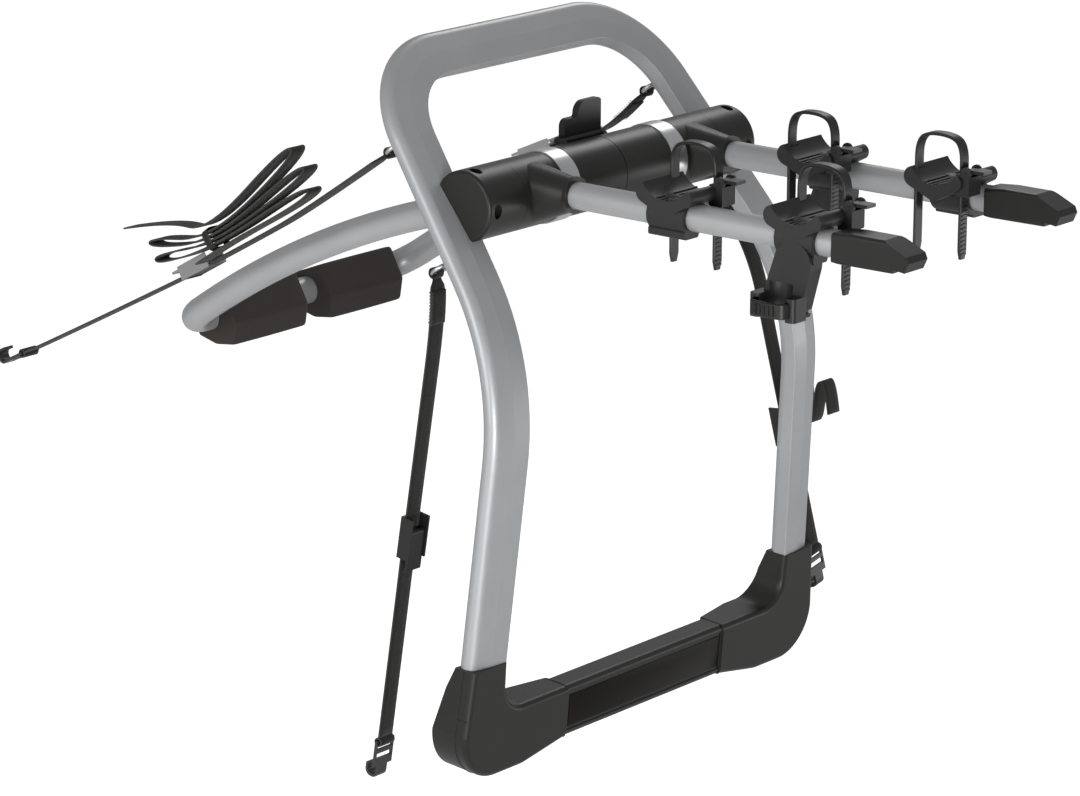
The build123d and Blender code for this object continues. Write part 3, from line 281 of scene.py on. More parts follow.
finishSpecs = {
    "silverPaint": {"dark": (0.305, 0.313, 0.322), "light": (0.350, 0.359, 0.368), "roughness": 0.42,
                    "metallic": 0.35, "scale": 2600, "strength": 0.06, "distance": 0.00008,
                    "variation": 0.06, "coat": 0.15},
    "turnedMetal": {"dark": (0.46, 0.47, 0.48), "light": (0.56, 0.57, 0.58), "roughness": 0.30,
                    "metallic": 0.9, "scale": 160, "strength": 0.25, "distance": 0.0001,
                    "variation": 0.08, "stretch": (14, 1, 1)},
    "brightSteel": {"dark": (0.42, 0.43, 0.44), "light": (0.56, 0.57, 0.58), "roughness": 0.32,
                    "metallic": 1.0, "scale": 700, "strength": 0.15, "distance": 0.0001,
                    "variation": 0.15},
    "charcoalPlastic": {"dark": (0.0105, 0.0102, 0.0092), "light": (0.0155, 0.0150, 0.0138),
                        "roughness": 0.38, "scale": 1500, "strength": 0.18, "distance": 0.00015,
                        "variation": 0.06, "specular": 0.30},
    "capPlastic": {"dark": (0.0085, 0.0083, 0.0078), "light": (0.0125, 0.0122, 0.0115),
                   "roughness": 0.34, "scale": 1500, "strength": 0.14, "distance": 0.00012,
                   "specular": 0.32},
    "panelGloss": {"dark": (0.0060, 0.0045, 0.0035), "light": (0.0080, 0.0064, 0.0052),
                   "roughness": 0.30, "scale": 300, "strength": 0.03, "distance": 0.0001,
                   "variation": 0.03, "specular": 0.10},
    "foamSkin": {"dark": (0.0215, 0.0178, 0.0155), "light": (0.0300, 0.0255, 0.0225),
                 "roughness": 0.80, "scale": 1900, "strength": 0.5, "distance": 0.0004,
                 "variation": 0.08, "sheen": 0.06, "specular": 0.25},
    "cradleRubber": {"dark": (0.0125, 0.0125, 0.0122), "light": (0.0185, 0.0185, 0.0180),
                     "roughness": 0.46, "scale": 1300, "specular": 0.32},
    "strapRubber": {"dark": (0.0085, 0.0082, 0.0078), "light": (0.0130, 0.0127, 0.0122),
                    "roughness": 0.40, "scale": 1500, "strength": 0.15, "specular": 0.32},
    "blackCoat": {"dark": (0.013, 0.0128, 0.0125), "light": (0.020, 0.0198, 0.0195),
                  "roughness": 0.34, "metallic": 0.2, "distance": 0.0001, "specular": 0.35},
    "hookCoat": {"dark": (0.032, 0.032, 0.032), "light": (0.055, 0.055, 0.055), "roughness": 0.38,
                 "metallic": 0.5, "strength": 0.25, "distance": 0.0001},
    "thread": {"dark": (0.024, 0.023, 0.022), "light": (0.038, 0.037, 0.035), "roughness": 0.6,
               "scale": 3000, "strength": 0.4, "distance": 0.0001, "specular": 0.3},
    "seamDark": {"dark": (0.003, 0.003, 0.003), "light": (0.005, 0.005, 0.005), "roughness": 0.7}}
finishes = {name: newMaterial(name, **spec) for name, spec in finishSpecs.items()}
webbing = makeWebbingMaterial()

slotFinish = {
    "silver_tube": finishes["silverPaint"], "silver_ring": finishes["turnedMetal"],
    "axle_steel": finishes["brightSteel"], "charcoal_plastic": finishes["charcoalPlastic"],
    "lever_plastic": finishes["capPlastic"], "foam": finishes["foamSkin"],
    "cradle_rubber": finishes["cradleRubber"], "strap_rubber": finishes["strapRubber"],
    "pawl_plastic": finishes["capPlastic"], "webbing": webbing, "buckle_steel": finishes["brightSteel"],
    "buckle_black": finishes["blackCoat"], "hook_steel": finishes["hookCoat"]}
nodeSlots = {entry["node"]: entry["material_slot"] for entry in frame["record"]["subparts"]}
for name, item in nodes.items():
    item.data.materials.clear()
    item.data.materials.append(slotFinish[nodeSlots[name]])
    for polygon in item.data.polygons:
        polygon.material_index = 0
print("materials made")

# Camera, set from the photograph

camSpec = {"azimuth": -50.18, "elevation": 15.43, "roll": 0.2, "lens": 145.4, "sensor": 36.0,
           "place": (-3916.0, -3173.9, 1113.0), "near": 0.05, "far": 60.0}
camData = bpy.data.cameras.new("photoCamera")
camera = bpy.data.objects.new("photoCamera", camData)
bpy.context.scene.collection.objects.link(camera)
bpy.context.scene.camera = camera
camera.location = vec(*camSpec["place"])
azimuth, elevation = math.radians(camSpec["azimuth"]), math.radians(camSpec["elevation"])
back = Vector((math.sin(azimuth) * math.cos(elevation), -math.cos(azimuth) * math.cos(elevation),
               math.sin(elevation)))
turn = Quaternion((0, 0, 1), math.radians(camSpec["roll"]))
camera.rotation_mode = "QUATERNION"
camera.rotation_quaternion = (-back).to_track_quat("-Z", "Y") @ turn
camData.lens = camSpec["lens"]
camData.sensor_width = camSpec["sensor"]
camData.clip_start = camSpec["near"]
camData.clip_end = camSpec["far"]


# Straps: flat ribbons that follow smooth routes

# Points along the NURBS spline with these control points, in metres
def routePoints(points, steps=10):
    data = bpy.data.curves.new("route", "CURVE")
    data.dimensions = "3D"
    spline = data.splines.new("NURBS")
    spline.points.add(len(points) - 1)
    for place, point in zip(spline.points, points):
        place.co = (*point, 1)
    spline.order_u = 3
    spline.use_endpoint_u = True
    spline.resolution_u = steps
    item = bpy.data.objects.new("route", data)
    bpy.context.scene.collection.objects.link(item)
    mesh = bpy.data.meshes.new_from_object(item.evaluated_get(bpy.context.evaluated_depsgraph_get()))
    found = [vertex.co.copy() for vertex in mesh.vertices]
    bpy.data.objects.remove(item)
    bpy.data.curves.remove(data)
    bpy.data.meshes.remove(mesh)
    return found


def lengthOf(points):
    return sum((b - a).length for a, b in zip(points, points[1:]))


# One face of a band. Each corner is a vertex, its place across the band and its place along it
def addBandFace(bm, uvLayer, corners):
    face = bm.faces.new([corner[0] for corner in corners])
    for loop, corner in zip(face.loops, corners):
        loop[uvLayer].uv = (corner[1] / mm, corner[2] / mm)


chamferShare = 0.3  # of a band's thickness


# A flat band along points, where widthDir and halfWidth are functions of the distance along it
def addRibbon(bm, uvLayer, points, widthDir, halfWidth, thickness, closed=False, lift=0.0):
    chamfer = thickness * chamferShare
    rings = []
    distance = 0.0
    count = len(points)
    for index, point in enumerate(points):
        before = points[index - 1] if index or closed else point
        after = points[(index + 1) % count] if index < count - 1 or closed else point
        along = (after - before).normalized()
        if index:
            distance += (point - points[index - 1]).length
        side = widthDir(distance)
        normal = along.cross(side).normalized()
        side = normal.cross(along).normalized()
        half = halfWidth(distance)
        tall = thickness / 2
        outline = [(-half, -tall + chamfer), (-half, tall - chamfer), (-half + chamfer, tall),
                   (-half / 3, tall), (half / 3, tall), (half - chamfer, tall), (half, tall - chamfer),
                   (half, -tall + chamfer), (half - chamfer, -tall), (half / 3, -tall), (-half / 3, -tall),
                   (-half + chamfer, -tall)]
        ring = [(bm.verts.new(point + side * x + normal * (y + lift)), x, distance) for x, y in outline]
        rings.append(ring)
    pairs = list(zip(rings, rings[1:]))
    if closed:
        pairs.append((rings[-1], rings[0]))
    for first, second in pairs:
        size = len(first)
        for k in range(size):
            corners = [first[k], first[(k + 1) % size], second[(k + 1) % size], second[k]]
            addBandFace(bm, uvLayer, corners)
    if not closed:
        for ring in (rings[0], rings[-1]):
            addBandFace(bm, uvLayer, ring)


loopSides = 20


# A sewn loop of webbing round a bar
def addLoopBand(bm, uvLayer, centre, axis, start, radius, halfWidth, thickness):
    axis = axis.normalized()
    start = (start - axis * start.dot(axis)).normalized()
    other = axis.cross(start)
    circle = [centre + start * math.cos(a) * radius + other * math.sin(a) * radius
              for a in (2 * math.pi * k / loopSides for k in range(loopSides))]
    addRibbon(bm, uvLayer, circle, lambda d: axis, lambda d: halfWidth, thickness, closed=True)


stitchSpec = {"length": 0.0026, "pitch": 1.5, "half": 0.0004, "tall": 0.00035, "edge": 0.82, "end": 0.7,
              "endSteps": 6}
boxQuads = ((0, 1, 2, 3), (4, 5, 6, 7), (0, 1, 5, 4), (1, 2, 6, 5), (2, 3, 7, 6), (3, 0, 4, 7))


# Box stitch on a lap: rows along both edges, across both ends and crossing in the middle
def addStitches(bm, points, widthDir, first, last, halfWidth, height):
    total = lengthOf(points)
    stitch, edgeShare, endShare = stitchSpec["length"], stitchSpec["edge"], stitchSpec["end"]

    def placeAt(distance):
        gone = 0.0
        for a, b in zip(points, points[1:]):
            step = (b - a).length
            if gone + step >= distance or b is points[-1]:
                return a.lerp(b, max(0.0, min(1.0, (distance - gone) / step))), (b - a).normalized()
            gone += step

    rows = []
    count = int((last - first) / (stitch * stitchSpec["pitch"]))
    for k in range(count + 1):
        share = k / count
        slant = edgeShare * (2 * share - 1)
        for offset, slope in ((-edgeShare, 0), (edgeShare, 0), (slant, 1), (-slant, -1)):
            rows.append((first + (last - first) * share, offset * halfWidth, slope))
    for edge in (first, last):
        for k in range(stitchSpec["endSteps"] + 1):
            rows.append((edge, endShare * (2 * k / stitchSpec["endSteps"] - 1) * halfWidth, None))
    for distance, offset, slope in rows:
        point, along = placeAt(min(distance, total))
        side = widthDir(distance)
        normal = along.cross(side).normalized()
        side = normal.cross(along)
        if slope is None:
            run = side
        else:
            run = (along * (last - first) + side * (slope * 2 * edgeShare * halfWidth)).normalized()
        cross = normal.cross(run)
        for face in (-1, 1):
            middle = point + side * offset + normal * (face * height)
            corners = []
            for a, b, c in ((-1, -1, 0), (1, -1, 0), (1, 1, 0), (-1, 1, 0), (-0.7, -0.5, 1), (0.7, -0.5, 1),
                            (0.7, 0.5, 1), (-0.7, 0.5, 1)):
                corners.append(bm.verts.new(middle + run * (a * stitch / 2) + cross * (b * stitchSpec["half"])
                                            + normal * (face * c * stitchSpec["tall"])))
            for quad in boxQuads:
                bm.faces.new([corners[q] for q in quad]).material_index = 1  # the thread


# Metres, apart from the gaps and sags, which are in millimetres like the routes
strapSpec = {"half": 0.0125, "thick": 0.0022, "eyeHalf": 0.0065, "eyeRadius": 0.0058,
             "barRadius": 0.0041, "hookRadius": 0.0047, "flare": 0.012, "shortTail": 0.15,
             "eyeLap": (0.012, 0.056), "hookLap": (0.008, 0.036), "lapHalf": 0.97, "lapThick": 0.8,
             "lapLift": 0.95, "stitchInset": 0.004, "stitchLift": 1.35, "eyeGap": 6.0, "barGap": 4.2,
             "hookGap": 4.8, "sagAt": 0.55, "sag": 1.2, "tailSag": 1.5}


# A webbing strap along control points in millimetres, and the points that it follows
def makeStrap(name, controls, widths, loops, laps, replaced, eye=False):
    points = routePoints([vec(*point) for point in controls])
    total = lengthOf(points)

    def widthDir(distance):
        share = max(0.0, min(1.0, distance / total)) * (len(widths) - 1)
        index = min(int(share), len(widths) - 2)
        return widths[index].lerp(widths[index + 1], share - index).normalized()

    def halfWidth(distance):
        if not eye:
            return strapSpec["half"]
        share = max(0.0, min(1.0, distance / strapSpec["flare"]))
        share = share * share * (3 - 2 * share)
        return strapSpec["eyeHalf"] + (strapSpec["half"] - strapSpec["eyeHalf"]) * share

    bm = bmesh.new()
    uvLayer = bm.loops.layers.uv.new("strapUv")
    addRibbon(bm, uvLayer, points, widthDir, halfWidth, strapSpec["thick"])
    for centre, axis, start, radius, half in loops:
        addLoopBand(bm, uvLayer, centre, axis, start, radius, half, strapSpec["thick"])
    for first, last in laps:
        gone = 0.0
        lapPoints = []
        for a, b in zip(points, points[1:]):
            if first <= gone <= last:
                lapPoints.append(a)
            gone += (b - a).length
        if len(lapPoints) > 2:
            half, thick, inset = strapSpec["half"], strapSpec["thick"], strapSpec["stitchInset"]
            addRibbon(bm, uvLayer, lapPoints, lambda d: widthDir(d + first),
                      lambda d: half * strapSpec["lapHalf"], thick * strapSpec["lapThick"],
                      lift=thick * strapSpec["lapLift"])
            addStitches(bm, points, widthDir, first + inset, last - inset, half,
                        thick * strapSpec["stitchLift"])
    mesh = meshFromBm(name, bm)
    item = addObject(name, mesh, [webbing, finishes["thread"]], "rack")
    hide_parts(*replaced)
    return item, points, total


across = Vector((1, 0, 0))
strapRuns = {
    "top_left": {"eye": (-237.1, 119.0, 44.9), "bends": [(-237.1, 248.0, -42.2)],
                 "cam": (-237.1, 402.0, -128.5), "hook": (-237.1, 735.0, -299.4)},
    "top_right": {"eye": (237.1, 119.0, 44.9), "bends": [(237.1, 165.0, -3.0)],
                  "cam": (237.1, 262.0, -46.0), "hook": (237.1, 385.0, -101.0)},
    "side_left": {"eye": (-267.2, 23.6, -77.2), "bends": [(-267.2, 18.5, -114.0)],
                  "cam": (-267.2, 61.3, -374.0), "hook": (-267.2, 107.6, -664.0)},
    "side_right": {"eye": (267.2, 23.6, -77.2), "bends": [(278.8, -17.0, -135.0)],
                   "cam": (318.3, -41.4, -345.0), "hook": (355.0, -64.0, -540.0)}}
camSizes = {"bar": 45.5, "past": 28.8}
for name, run in strapRuns.items():
    eye, cam, hookPoint = Vector(run["eye"]), Vector(run["cam"]), Vector(run["hook"])
    bends = [Vector(point) for point in run["bends"]]
    direction = (cam - bends[-1]).normalized()
    firstRun = (bends[0] - eye).normalized()
    start = eye + firstRun * strapSpec["eyeGap"]
    end = cam + direction * camSizes["past"]
    width = (across - direction * direction.x).normalized()
    mid = bends[-1].lerp(cam, strapSpec["sagAt"]) + Vector((0, 0, -strapSpec["sag"]))
    controls = [start, *bends, mid, end]
    straps, points, total = makeStrap(
        "mainWebbing_" + name, controls, [width, width],
        [(eye * mm, across, firstRun, strapSpec["eyeRadius"], strapSpec["eyeHalf"])],
        [strapSpec["eyeLap"]], ["webbing_" + name], eye=True)
    bar = cam + direction * camSizes["bar"]
    endRun = (hookPoint - bar).normalized()
    endWidth = (across - endRun * endRun.x).normalized()
    endControls = [bar + endRun * strapSpec["barGap"],
                   bar.lerp(hookPoint, 0.5) + Vector((0, 0, -strapSpec["tailSag"])),
                   hookPoint - endRun * strapSpec["hookGap"]]
    tail, tailPoints, _ = makeStrap(
        "endWebbing_" + name, endControls, [endWidth, endWidth],
        [(bar * mm, width, direction, strapSpec["barRadius"], strapSpec["half"]),
         (hookPoint * mm, endWidth, endRun, strapSpec["hookRadius"], strapSpec["half"])],
        [strapSpec["hookLap"]], ["end_webbing_" + name])
    carried = [nodes["cam_frame_" + name], nodes["cam_lever_" + name]]
    tailLine = [bar * mm, *tailPoints, hookPoint * mm]
    tailLength = lengthOf(tailLine)
    if tailLength < strapSpec["shortTail"]:
        carried += [tail, nodes["hook_" + name]]

hankRoutes = {
    "top_left": {"x": -265.44, "points": [
        (398.0, -125.0), (366.6, -102.6), (209.9, -14.8), (218.1, -1.2), (368.8, -99.9), (464.0, -136.5),
        (468.5, -124.5), (370.9, -97.3), (215.2, 11.6), (224.8, 24.4), (373.1, -94.7), (475.0, -117.0),
        (477.0, -105.0), (375.2, -92.1), (233.8, 31.5), (246.2, 44.5), (379.0, -83.0), (440.0, -79.0),
        (519.0, -99.5)]},
    "side_right": {"x": 356.2, "points": [
        (-47.0, -393.0), (-34.0, -306.0), (-48.0, -306.0), (-52.0, -372.0), (-66.0, -372.0), (-70.0, -316.0),
        (-84.0, -316.0), (-90.0, -356.0)]}}
for name, route in hankRoutes.items():
    controls = [(route["x"], y, z) for y, z in route["points"]]
    hank, _, total = makeStrap("hankWebbing_" + name, controls, [across, across], [], [], ["hank_" + name])
print("straps made")

# Tie that holds the folded webbing together

tieSpec = {"middle": (-265.4, 375.5, -91.5), "along": (0, -0.8, 0.6), "up": (0, 0.6, 0.8),
           "halfAcross": 14.2, "halfTall": 13.5, "halfWidth": 0.0055, "thick": 0.0014, "sides": 28,
           "squareness": 0.55}
tieAlong, tieUp = Vector(tieSpec["along"]), Vector(tieSpec["up"])
tiePoints = []
for k in range(tieSpec["sides"]):
    wide, tall = (math.copysign(abs(value) ** tieSpec["squareness"], value)
                  for value in (math.cos(2 * math.pi * k / tieSpec["sides"]),
                                math.sin(2 * math.pi * k / tieSpec["sides"])))
    tiePoints.append((Vector(tieSpec["middle"]) + across * (wide * tieSpec["halfAcross"])
                      + tieUp * (tall * tieSpec["halfTall"])) * mm)
bm = bmesh.new()
uvLayer = bm.loops.layers.uv.new("strapUv")
addRibbon(bm, uvLayer, tiePoints, lambda d: tieAlong, lambda d: tieSpec["halfWidth"], tieSpec["thick"],
          closed=True)
addObject("hankTie", meshFromBm("hankTie", bm), [finishes["strapRubber"]], "rack")

# Cradle straps: moulded arches with ladder teeth down the buckle side

places = {"near_inner": (-1, 230.0), "near_outer": (-1, 409.0),
          "far_inner": (1, 230.0), "far_outer": (1, 411.0)}  # side, and distance out from the hub
archSpec = {"x": 111.1, "leg": 31.0, "tail": -66.0, "top": 76.0, "rise": 8.7, "half": 0.0075,
            "thick": 0.0038, "crown": 0.62, "heights": (62, 30, -20), "steps": 8,
            "tipShare": 0.62, "tipRun": 0.008,
            "toothPitch": 5.0, "toothFrom": -60.0, "toothTo": 40.0, "toothTall": 0.0011,
            "toothHalf": 0.0011, "toothWide": 0.82}
blockTaper = 0.75


# A small block with a narrower top: a and b are half sides in its plane, c is its height
def addBlock(bm, middle, a, b, c):
    corners = [bm.verts.new(middle + a * i * s + b * j * s + c * k)
               for k, s in ((0, 1.0), (1, blockTaper)) for i, j in ((-1, -1), (1, -1), (1, 1), (-1, 1))]
    for quad in boxQuads:
        bm.faces.new([corners[q] for q in quad])


for name, (side, out) in places.items():
    def archPoint(x, y):
        return Vector((side * archSpec["x"], -out - x, archSpec["rise"] + y)) * mm

    leg, top = archSpec["leg"], archSpec["top"]
    half = [(leg * archSpec["crown"], top), *((leg, height) for height in archSpec["heights"]),
            (leg, archSpec["tail"])]
    controls = [(-x, y) for x, y in reversed(half)] + half
    points = routePoints([archPoint(x, y) for x, y in controls], archSpec["steps"])
    bm = bmesh.new()
    uvLayer = bm.loops.layers.uv.new("strapUv")
    total = lengthOf(points)

    def tipWidth(distance):
        edge = min(distance, total - distance)
        narrow = archSpec["tipShare"]
        return archSpec["half"] * min(1.0, narrow + (1 - narrow) * edge / archSpec["tipRun"])

    addRibbon(bm, uvLayer, points, lambda d: across, tipWidth, archSpec["thick"])
    height = archSpec["toothFrom"]
    while height < archSpec["toothTo"]:
        middle = archPoint(leg, height) + Vector((0, -archSpec["thick"] / 2, 0))
        addBlock(bm, middle, across * archSpec["half"] * archSpec["toothWide"],
                 Vector((0, 0, archSpec["toothHalf"])), Vector((0, -archSpec["toothTall"], 0)))
        height += archSpec["toothPitch"]
    arch = addObject("cradleArch_" + name, meshFromBm("cradleArch_" + name, bm), [finishes["strapRubber"]],
                     "cradle_" + name)
    smoothBy(arch)
    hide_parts("cradle_strap_" + name)

# Anti-sway straps: open loops through the jaws of their seats, with ribs on the outside

swaySpec = {"x": 174.1, "shift": 14.38, "z": -65.3, "reach": 24.0, "tail": 13.0, "half": 0.0088,
            "thick": 0.0038, "straight": 0.75, "corner": 0.7, "steps": 8, "ribs": (-2, -1, 0, 1, 2),
            "ribPitch": 6, "ribLift": 1.8, "ribHalf": 0.0011, "ribLong": 0.006, "ribTall": 0.0011}
for name, side in (("near_outer", -1), ("far_inner", 1)):
    out = places[name][1]
    middle = Vector((side * swaySpec["x"], -out + swaySpec["shift"], swaySpec["z"]))
    reach, tail = swaySpec["reach"], swaySpec["tail"]
    half = [(reach, reach * swaySpec["corner"]), (reach * swaySpec["straight"], reach), (0, reach),
            (-tail, reach)]
    controls = [(x, -y) for x, y in reversed(half)] + half
    points = routePoints([(middle + Vector((side * x, y, 0))) * mm for x, y in controls], swaySpec["steps"])
    bm = bmesh.new()
    uvLayer = bm.loops.layers.uv.new("strapUv")
    addRibbon(bm, uvLayer, points, lambda d: Vector((0, 0, 1)), lambda d: swaySpec["half"], swaySpec["thick"])
    for k in swaySpec["ribs"]:
        foot = middle + Vector((side * (reach + swaySpec["ribLift"]), k * swaySpec["ribPitch"], 0))
        addBlock(bm, foot * mm, Vector((0, swaySpec["ribHalf"], 0)), Vector((0, 0, swaySpec["ribLong"])),
                 Vector((side * swaySpec["ribTall"], 0, 0)))
    loop = addObject("swayLoop_" + name, meshFromBm("swayLoop_" + name, bm), [finishes["strapRubber"]],
                     "cradle_" + name)
    smoothBy(loop)
    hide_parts("sway_strap_" + name)
print("cradle straps made")

# Foam pads: faceted sleeves on the cross tube, crowned a little between their ends

padSpec = {"y": 496.0, "z": -229.0, "wide": 81.0, "tall": 70.0, "inner": 23.0, "outer": 156.0,
           "bore": 17.8, "sides": 120, "smooth": 24,
           "outline": [(0.43, 0.21), (-0.31, 0.54), (-0.58, -0.02), (-0.52, -0.44), (-0.14, -0.5),
                       (0.22, -0.4)],
           "crown": [(0.0, 0.925), (0.008, 0.962), (0.024, 0.985), (0.05, 0.995), (0.2, 1.0), (0.5, 1.004),
                     (0.8, 1.0), (0.95, 0.995), (0.976, 0.985), (0.992, 0.962), (1.0, 0.925)]}
padAngles = [2 * math.pi * k / padSpec["sides"] for k in range(padSpec["sides"])]


# Distance from the middle to a closed outline at an angle
def outlineRadius(outline, angle):
    ray = Vector((math.cos(angle), math.sin(angle)))
    best = 0.0
    for a, b in zip(outline, outline[1:] + outline[:1]):
        edge = b - a
        cross = ray.x * edge.y - ray.y * edge.x
        if abs(cross) < 1e-9:
            continue
        reach = (a.x * edge.y - a.y * edge.x) / cross
        share = (a.x * ray.y - a.y * ray.x) / cross
        if reach > 0 and -1e-6 <= share <= 1 + 1e-6:
            best = max(best, reach)
    return best


# Ring of vertices round the cross tube, at a share of a pad's length
def padRing(bm, side, share, ringRadii):
    x = side * (padSpec["inner"] + (padSpec["outer"] - padSpec["inner"]) * share)
    return [bm.verts.new(vec(x, padSpec["y"] + math.cos(angle) * radius,
                             padSpec["z"] + math.sin(angle) * radius))
            for angle, radius in zip(padAngles, ringRadii)]


outline = [Vector((u * padSpec["wide"], v * padSpec["tall"])) for u, v in padSpec["outline"]]
sharp = [outlineRadius(outline, angle) for angle in padAngles]
radii = [(before + 2 * here + after) / 4  # takes the edge off the corners
         for before, here, after in zip(sharp[-1:] + sharp[:-1], sharp, sharp[1:] + sharp[:1])]
bore = [padSpec["bore"]] * padSpec["sides"]
for side, name in ((-1, "left"), (1, "right")):
    bm = bmesh.new()
    rings = [padRing(bm, side, share, [radius * scale for radius in radii])
             for share, scale in padSpec["crown"]]
    rings += [padRing(bm, side, share, bore) for share in (1.0, 0.0)]
    for first, second in zip(rings, rings[1:] + rings[:1]):
        joinRings(bm, first, second)
    pad = addObject("foamPad_" + name, meshFromBm("foamPad_" + name, bm), [finishes["foamSkin"]],
                    "support")
    smoothBy(pad, padSpec["smooth"])
    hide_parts("support_pad_" + name)

# Ribbed rubber face on the base bar, towards the car

baseSpec = {"foot": (0, -84.1, -523.0), "knee": (0, -114.163, -167.992)}
baseFoot = Vector(baseSpec["foot"])
baseUp = (Vector(baseSpec["knee"]) - baseFoot).normalized()
baseIn = Vector((0, baseUp.z, -baseUp.y))


def basePoint(x, rise, depth):
    return (baseFoot + across * x + baseUp * rise + baseIn * depth) * mm


bumperSpec = {"half": 130.0, "low": -118.5, "high": -72.5, "from": 36.1, "to": 46.0, "grooves": 5, "lip": 3.5,
              "grooveHalf": 1.4, "floorHalf": 0.7, "grooveDeep": 1.8, "endInset": 2.5, "endAt": 0.985,
              "endShrink": 26}
low, high, face, lip = (bumperSpec[key] for key in ("low", "high", "to", "lip"))
profile = [(low, bumperSpec["from"]), (low, face - lip), (low + lip, face)]
pitch = (high - low - 2 * lip) / (bumperSpec["grooves"] + 1)
for k in range(1, bumperSpec["grooves"] + 1):
    groove = low + lip + k * pitch
    profile += [(groove - bumperSpec["grooveHalf"], face),
                (groove - bumperSpec["floorHalf"], face - bumperSpec["grooveDeep"]),
                (groove + bumperSpec["floorHalf"], face - bumperSpec["grooveDeep"]),
                (groove + bumperSpec["grooveHalf"], face)]
profile += [(high - lip, face), (high, face - lip), (high, bumperSpec["from"])]
middle = (low + high) / 2
bm = bmesh.new()
rings = []
for share, inset in ((-1, bumperSpec["endInset"]), (-bumperSpec["endAt"], 0), (bumperSpec["endAt"], 0),
                     (1, bumperSpec["endInset"])):
    shrink = 1 - inset / bumperSpec["endShrink"]
    rings.append([bm.verts.new(basePoint(share * bumperSpec["half"], middle + (rise - middle) * shrink,
                                         min(depth, face - inset))) for rise, depth in profile])
for first, second in zip(rings, rings[1:]):
    joinRings(bm, first, second)
bm.faces.new(rings[0])
bm.faces.new(rings[-1])
bumper = addObject("bumperFace", meshFromBm("bumperFace", bm, smooth=False), [finishes["foamSkin"]],
                   "rack")
softenEdges(bumper, 0.0006)
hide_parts("bumper_pad")
print("pads made")


# Trim on the base: the dark glossy inlay, and the seams of the moulded shells

def plateMesh(name, halfWide, low, high, depth, thick):
    bm = bmesh.new()
    corners = []
    for x, y in ((-halfWide, low), (halfWide, low), (halfWide, high), (-halfWide, high)):
        for step in (0, 1):
            corners.append(bm.verts.new(basePoint(x, y, depth - step * thick)))
    for quad in ((0, 2, 4, 6), (1, 3, 5, 7), (0, 1, 3, 2), (2, 3, 5, 4), (4, 5, 7, 6), (6, 7, 1, 0)):
        bm.faces.new([corners[q] for q in quad])
    return meshFromBm(name, bm)


inlaySpec = {"half": 144.5, "low": -115.5, "high": -75.5, "depth": 1.1, "thick": 0.8}
inlayMesh = plateMesh("baseInlay", inlaySpec["half"], inlaySpec["low"], inlaySpec["high"],
                      inlaySpec["depth"], inlaySpec["thick"])
inlay = addObject("baseInlay", inlayMesh, [finishes["panelGloss"]], "rack")
softenEdges(inlay, 0.0003)


# Millimetres in the base's own frame: across, up from the foot and in from the outer face
seamSpec = {"radius": 0.0006, "barRadius": 0.0007, "depth": 15.0, "rises": (-2.0, -20.0, -38.0, -56.0, -79.0),
            "out": 327.15, "splay": 8.0, "low": -79.0, "bend": (274.2, -80.2, 60.95), "bendFrom": 10,
            "bendTo": 74, "bendStep": 8, "stepOut": 333.1, "stepRise": -59.0, "stepDepths": (1.0, 8.0, 15.0),
            "barAt": 150.0,
            "barRoute": [(-128.1, 34.0), (-128.1, 4.0), (-127.4, 1.5), (-125.5, -0.1), (-123.0, -0.1),
                         (-68.0, -0.1), (-65.5, -0.1), (-63.6, 1.5), (-62.9, 4.0), (-62.9, 34.0)]}


# A fine tube along points, half sunk in the face that it marks
def seamLine(name, points, radius):
    data = bpy.data.curves.new(name, "CURVE")
    data.dimensions = "3D"
    spline = data.splines.new("POLY")
    spline.points.add(len(points) - 1)
    for place, point in zip(spline.points, points):
        place.co = (*point, 1)
    data.bevel_depth = radius
    data.bevel_resolution = 2
    data.use_fill_caps = True
    item = bpy.data.objects.new(name, data)
    bpy.context.scene.collection.objects.link(item)
    item.data.materials.append(finishes["seamDark"])
    makeActive(item)
    bpy.ops.object.convert(target="MESH")
    item = bpy.context.object
    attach(item, "rack")


# Points down the outer side of a base corner and round its bend
def shellEdge(side):
    found = [(side * (seamSpec["out"] + seamSpec["splay"] * rise / seamSpec["low"]), rise)
             for rise in seamSpec["rises"]]
    bendX, bendRise, bendRadius = seamSpec["bend"]
    for degree in range(seamSpec["bendFrom"], seamSpec["bendTo"], seamSpec["bendStep"]):
        angle = math.radians(degree)
        found.append((side * (bendX + bendRadius * math.cos(angle)), bendRise - bendRadius * math.sin(angle)))
    return [basePoint(x, rise, seamSpec["depth"]) for x, rise in found]


for side, name in ((-1, "left"), (1, "right")):
    seamLine("shellSeam_" + name, shellEdge(side), seamSpec["radius"])
    seamLine("shellStep_" + name, [basePoint(side * seamSpec["stepOut"], seamSpec["stepRise"], depth)
                                   for depth in seamSpec["stepDepths"]], seamSpec["radius"])
    seamLine("barSeam_" + name, [basePoint(side * seamSpec["barAt"], rise, depth)
                                 for rise, depth in seamSpec["barRoute"]], seamSpec["barRadius"])

# Hub screws in the end caps, with hex sockets

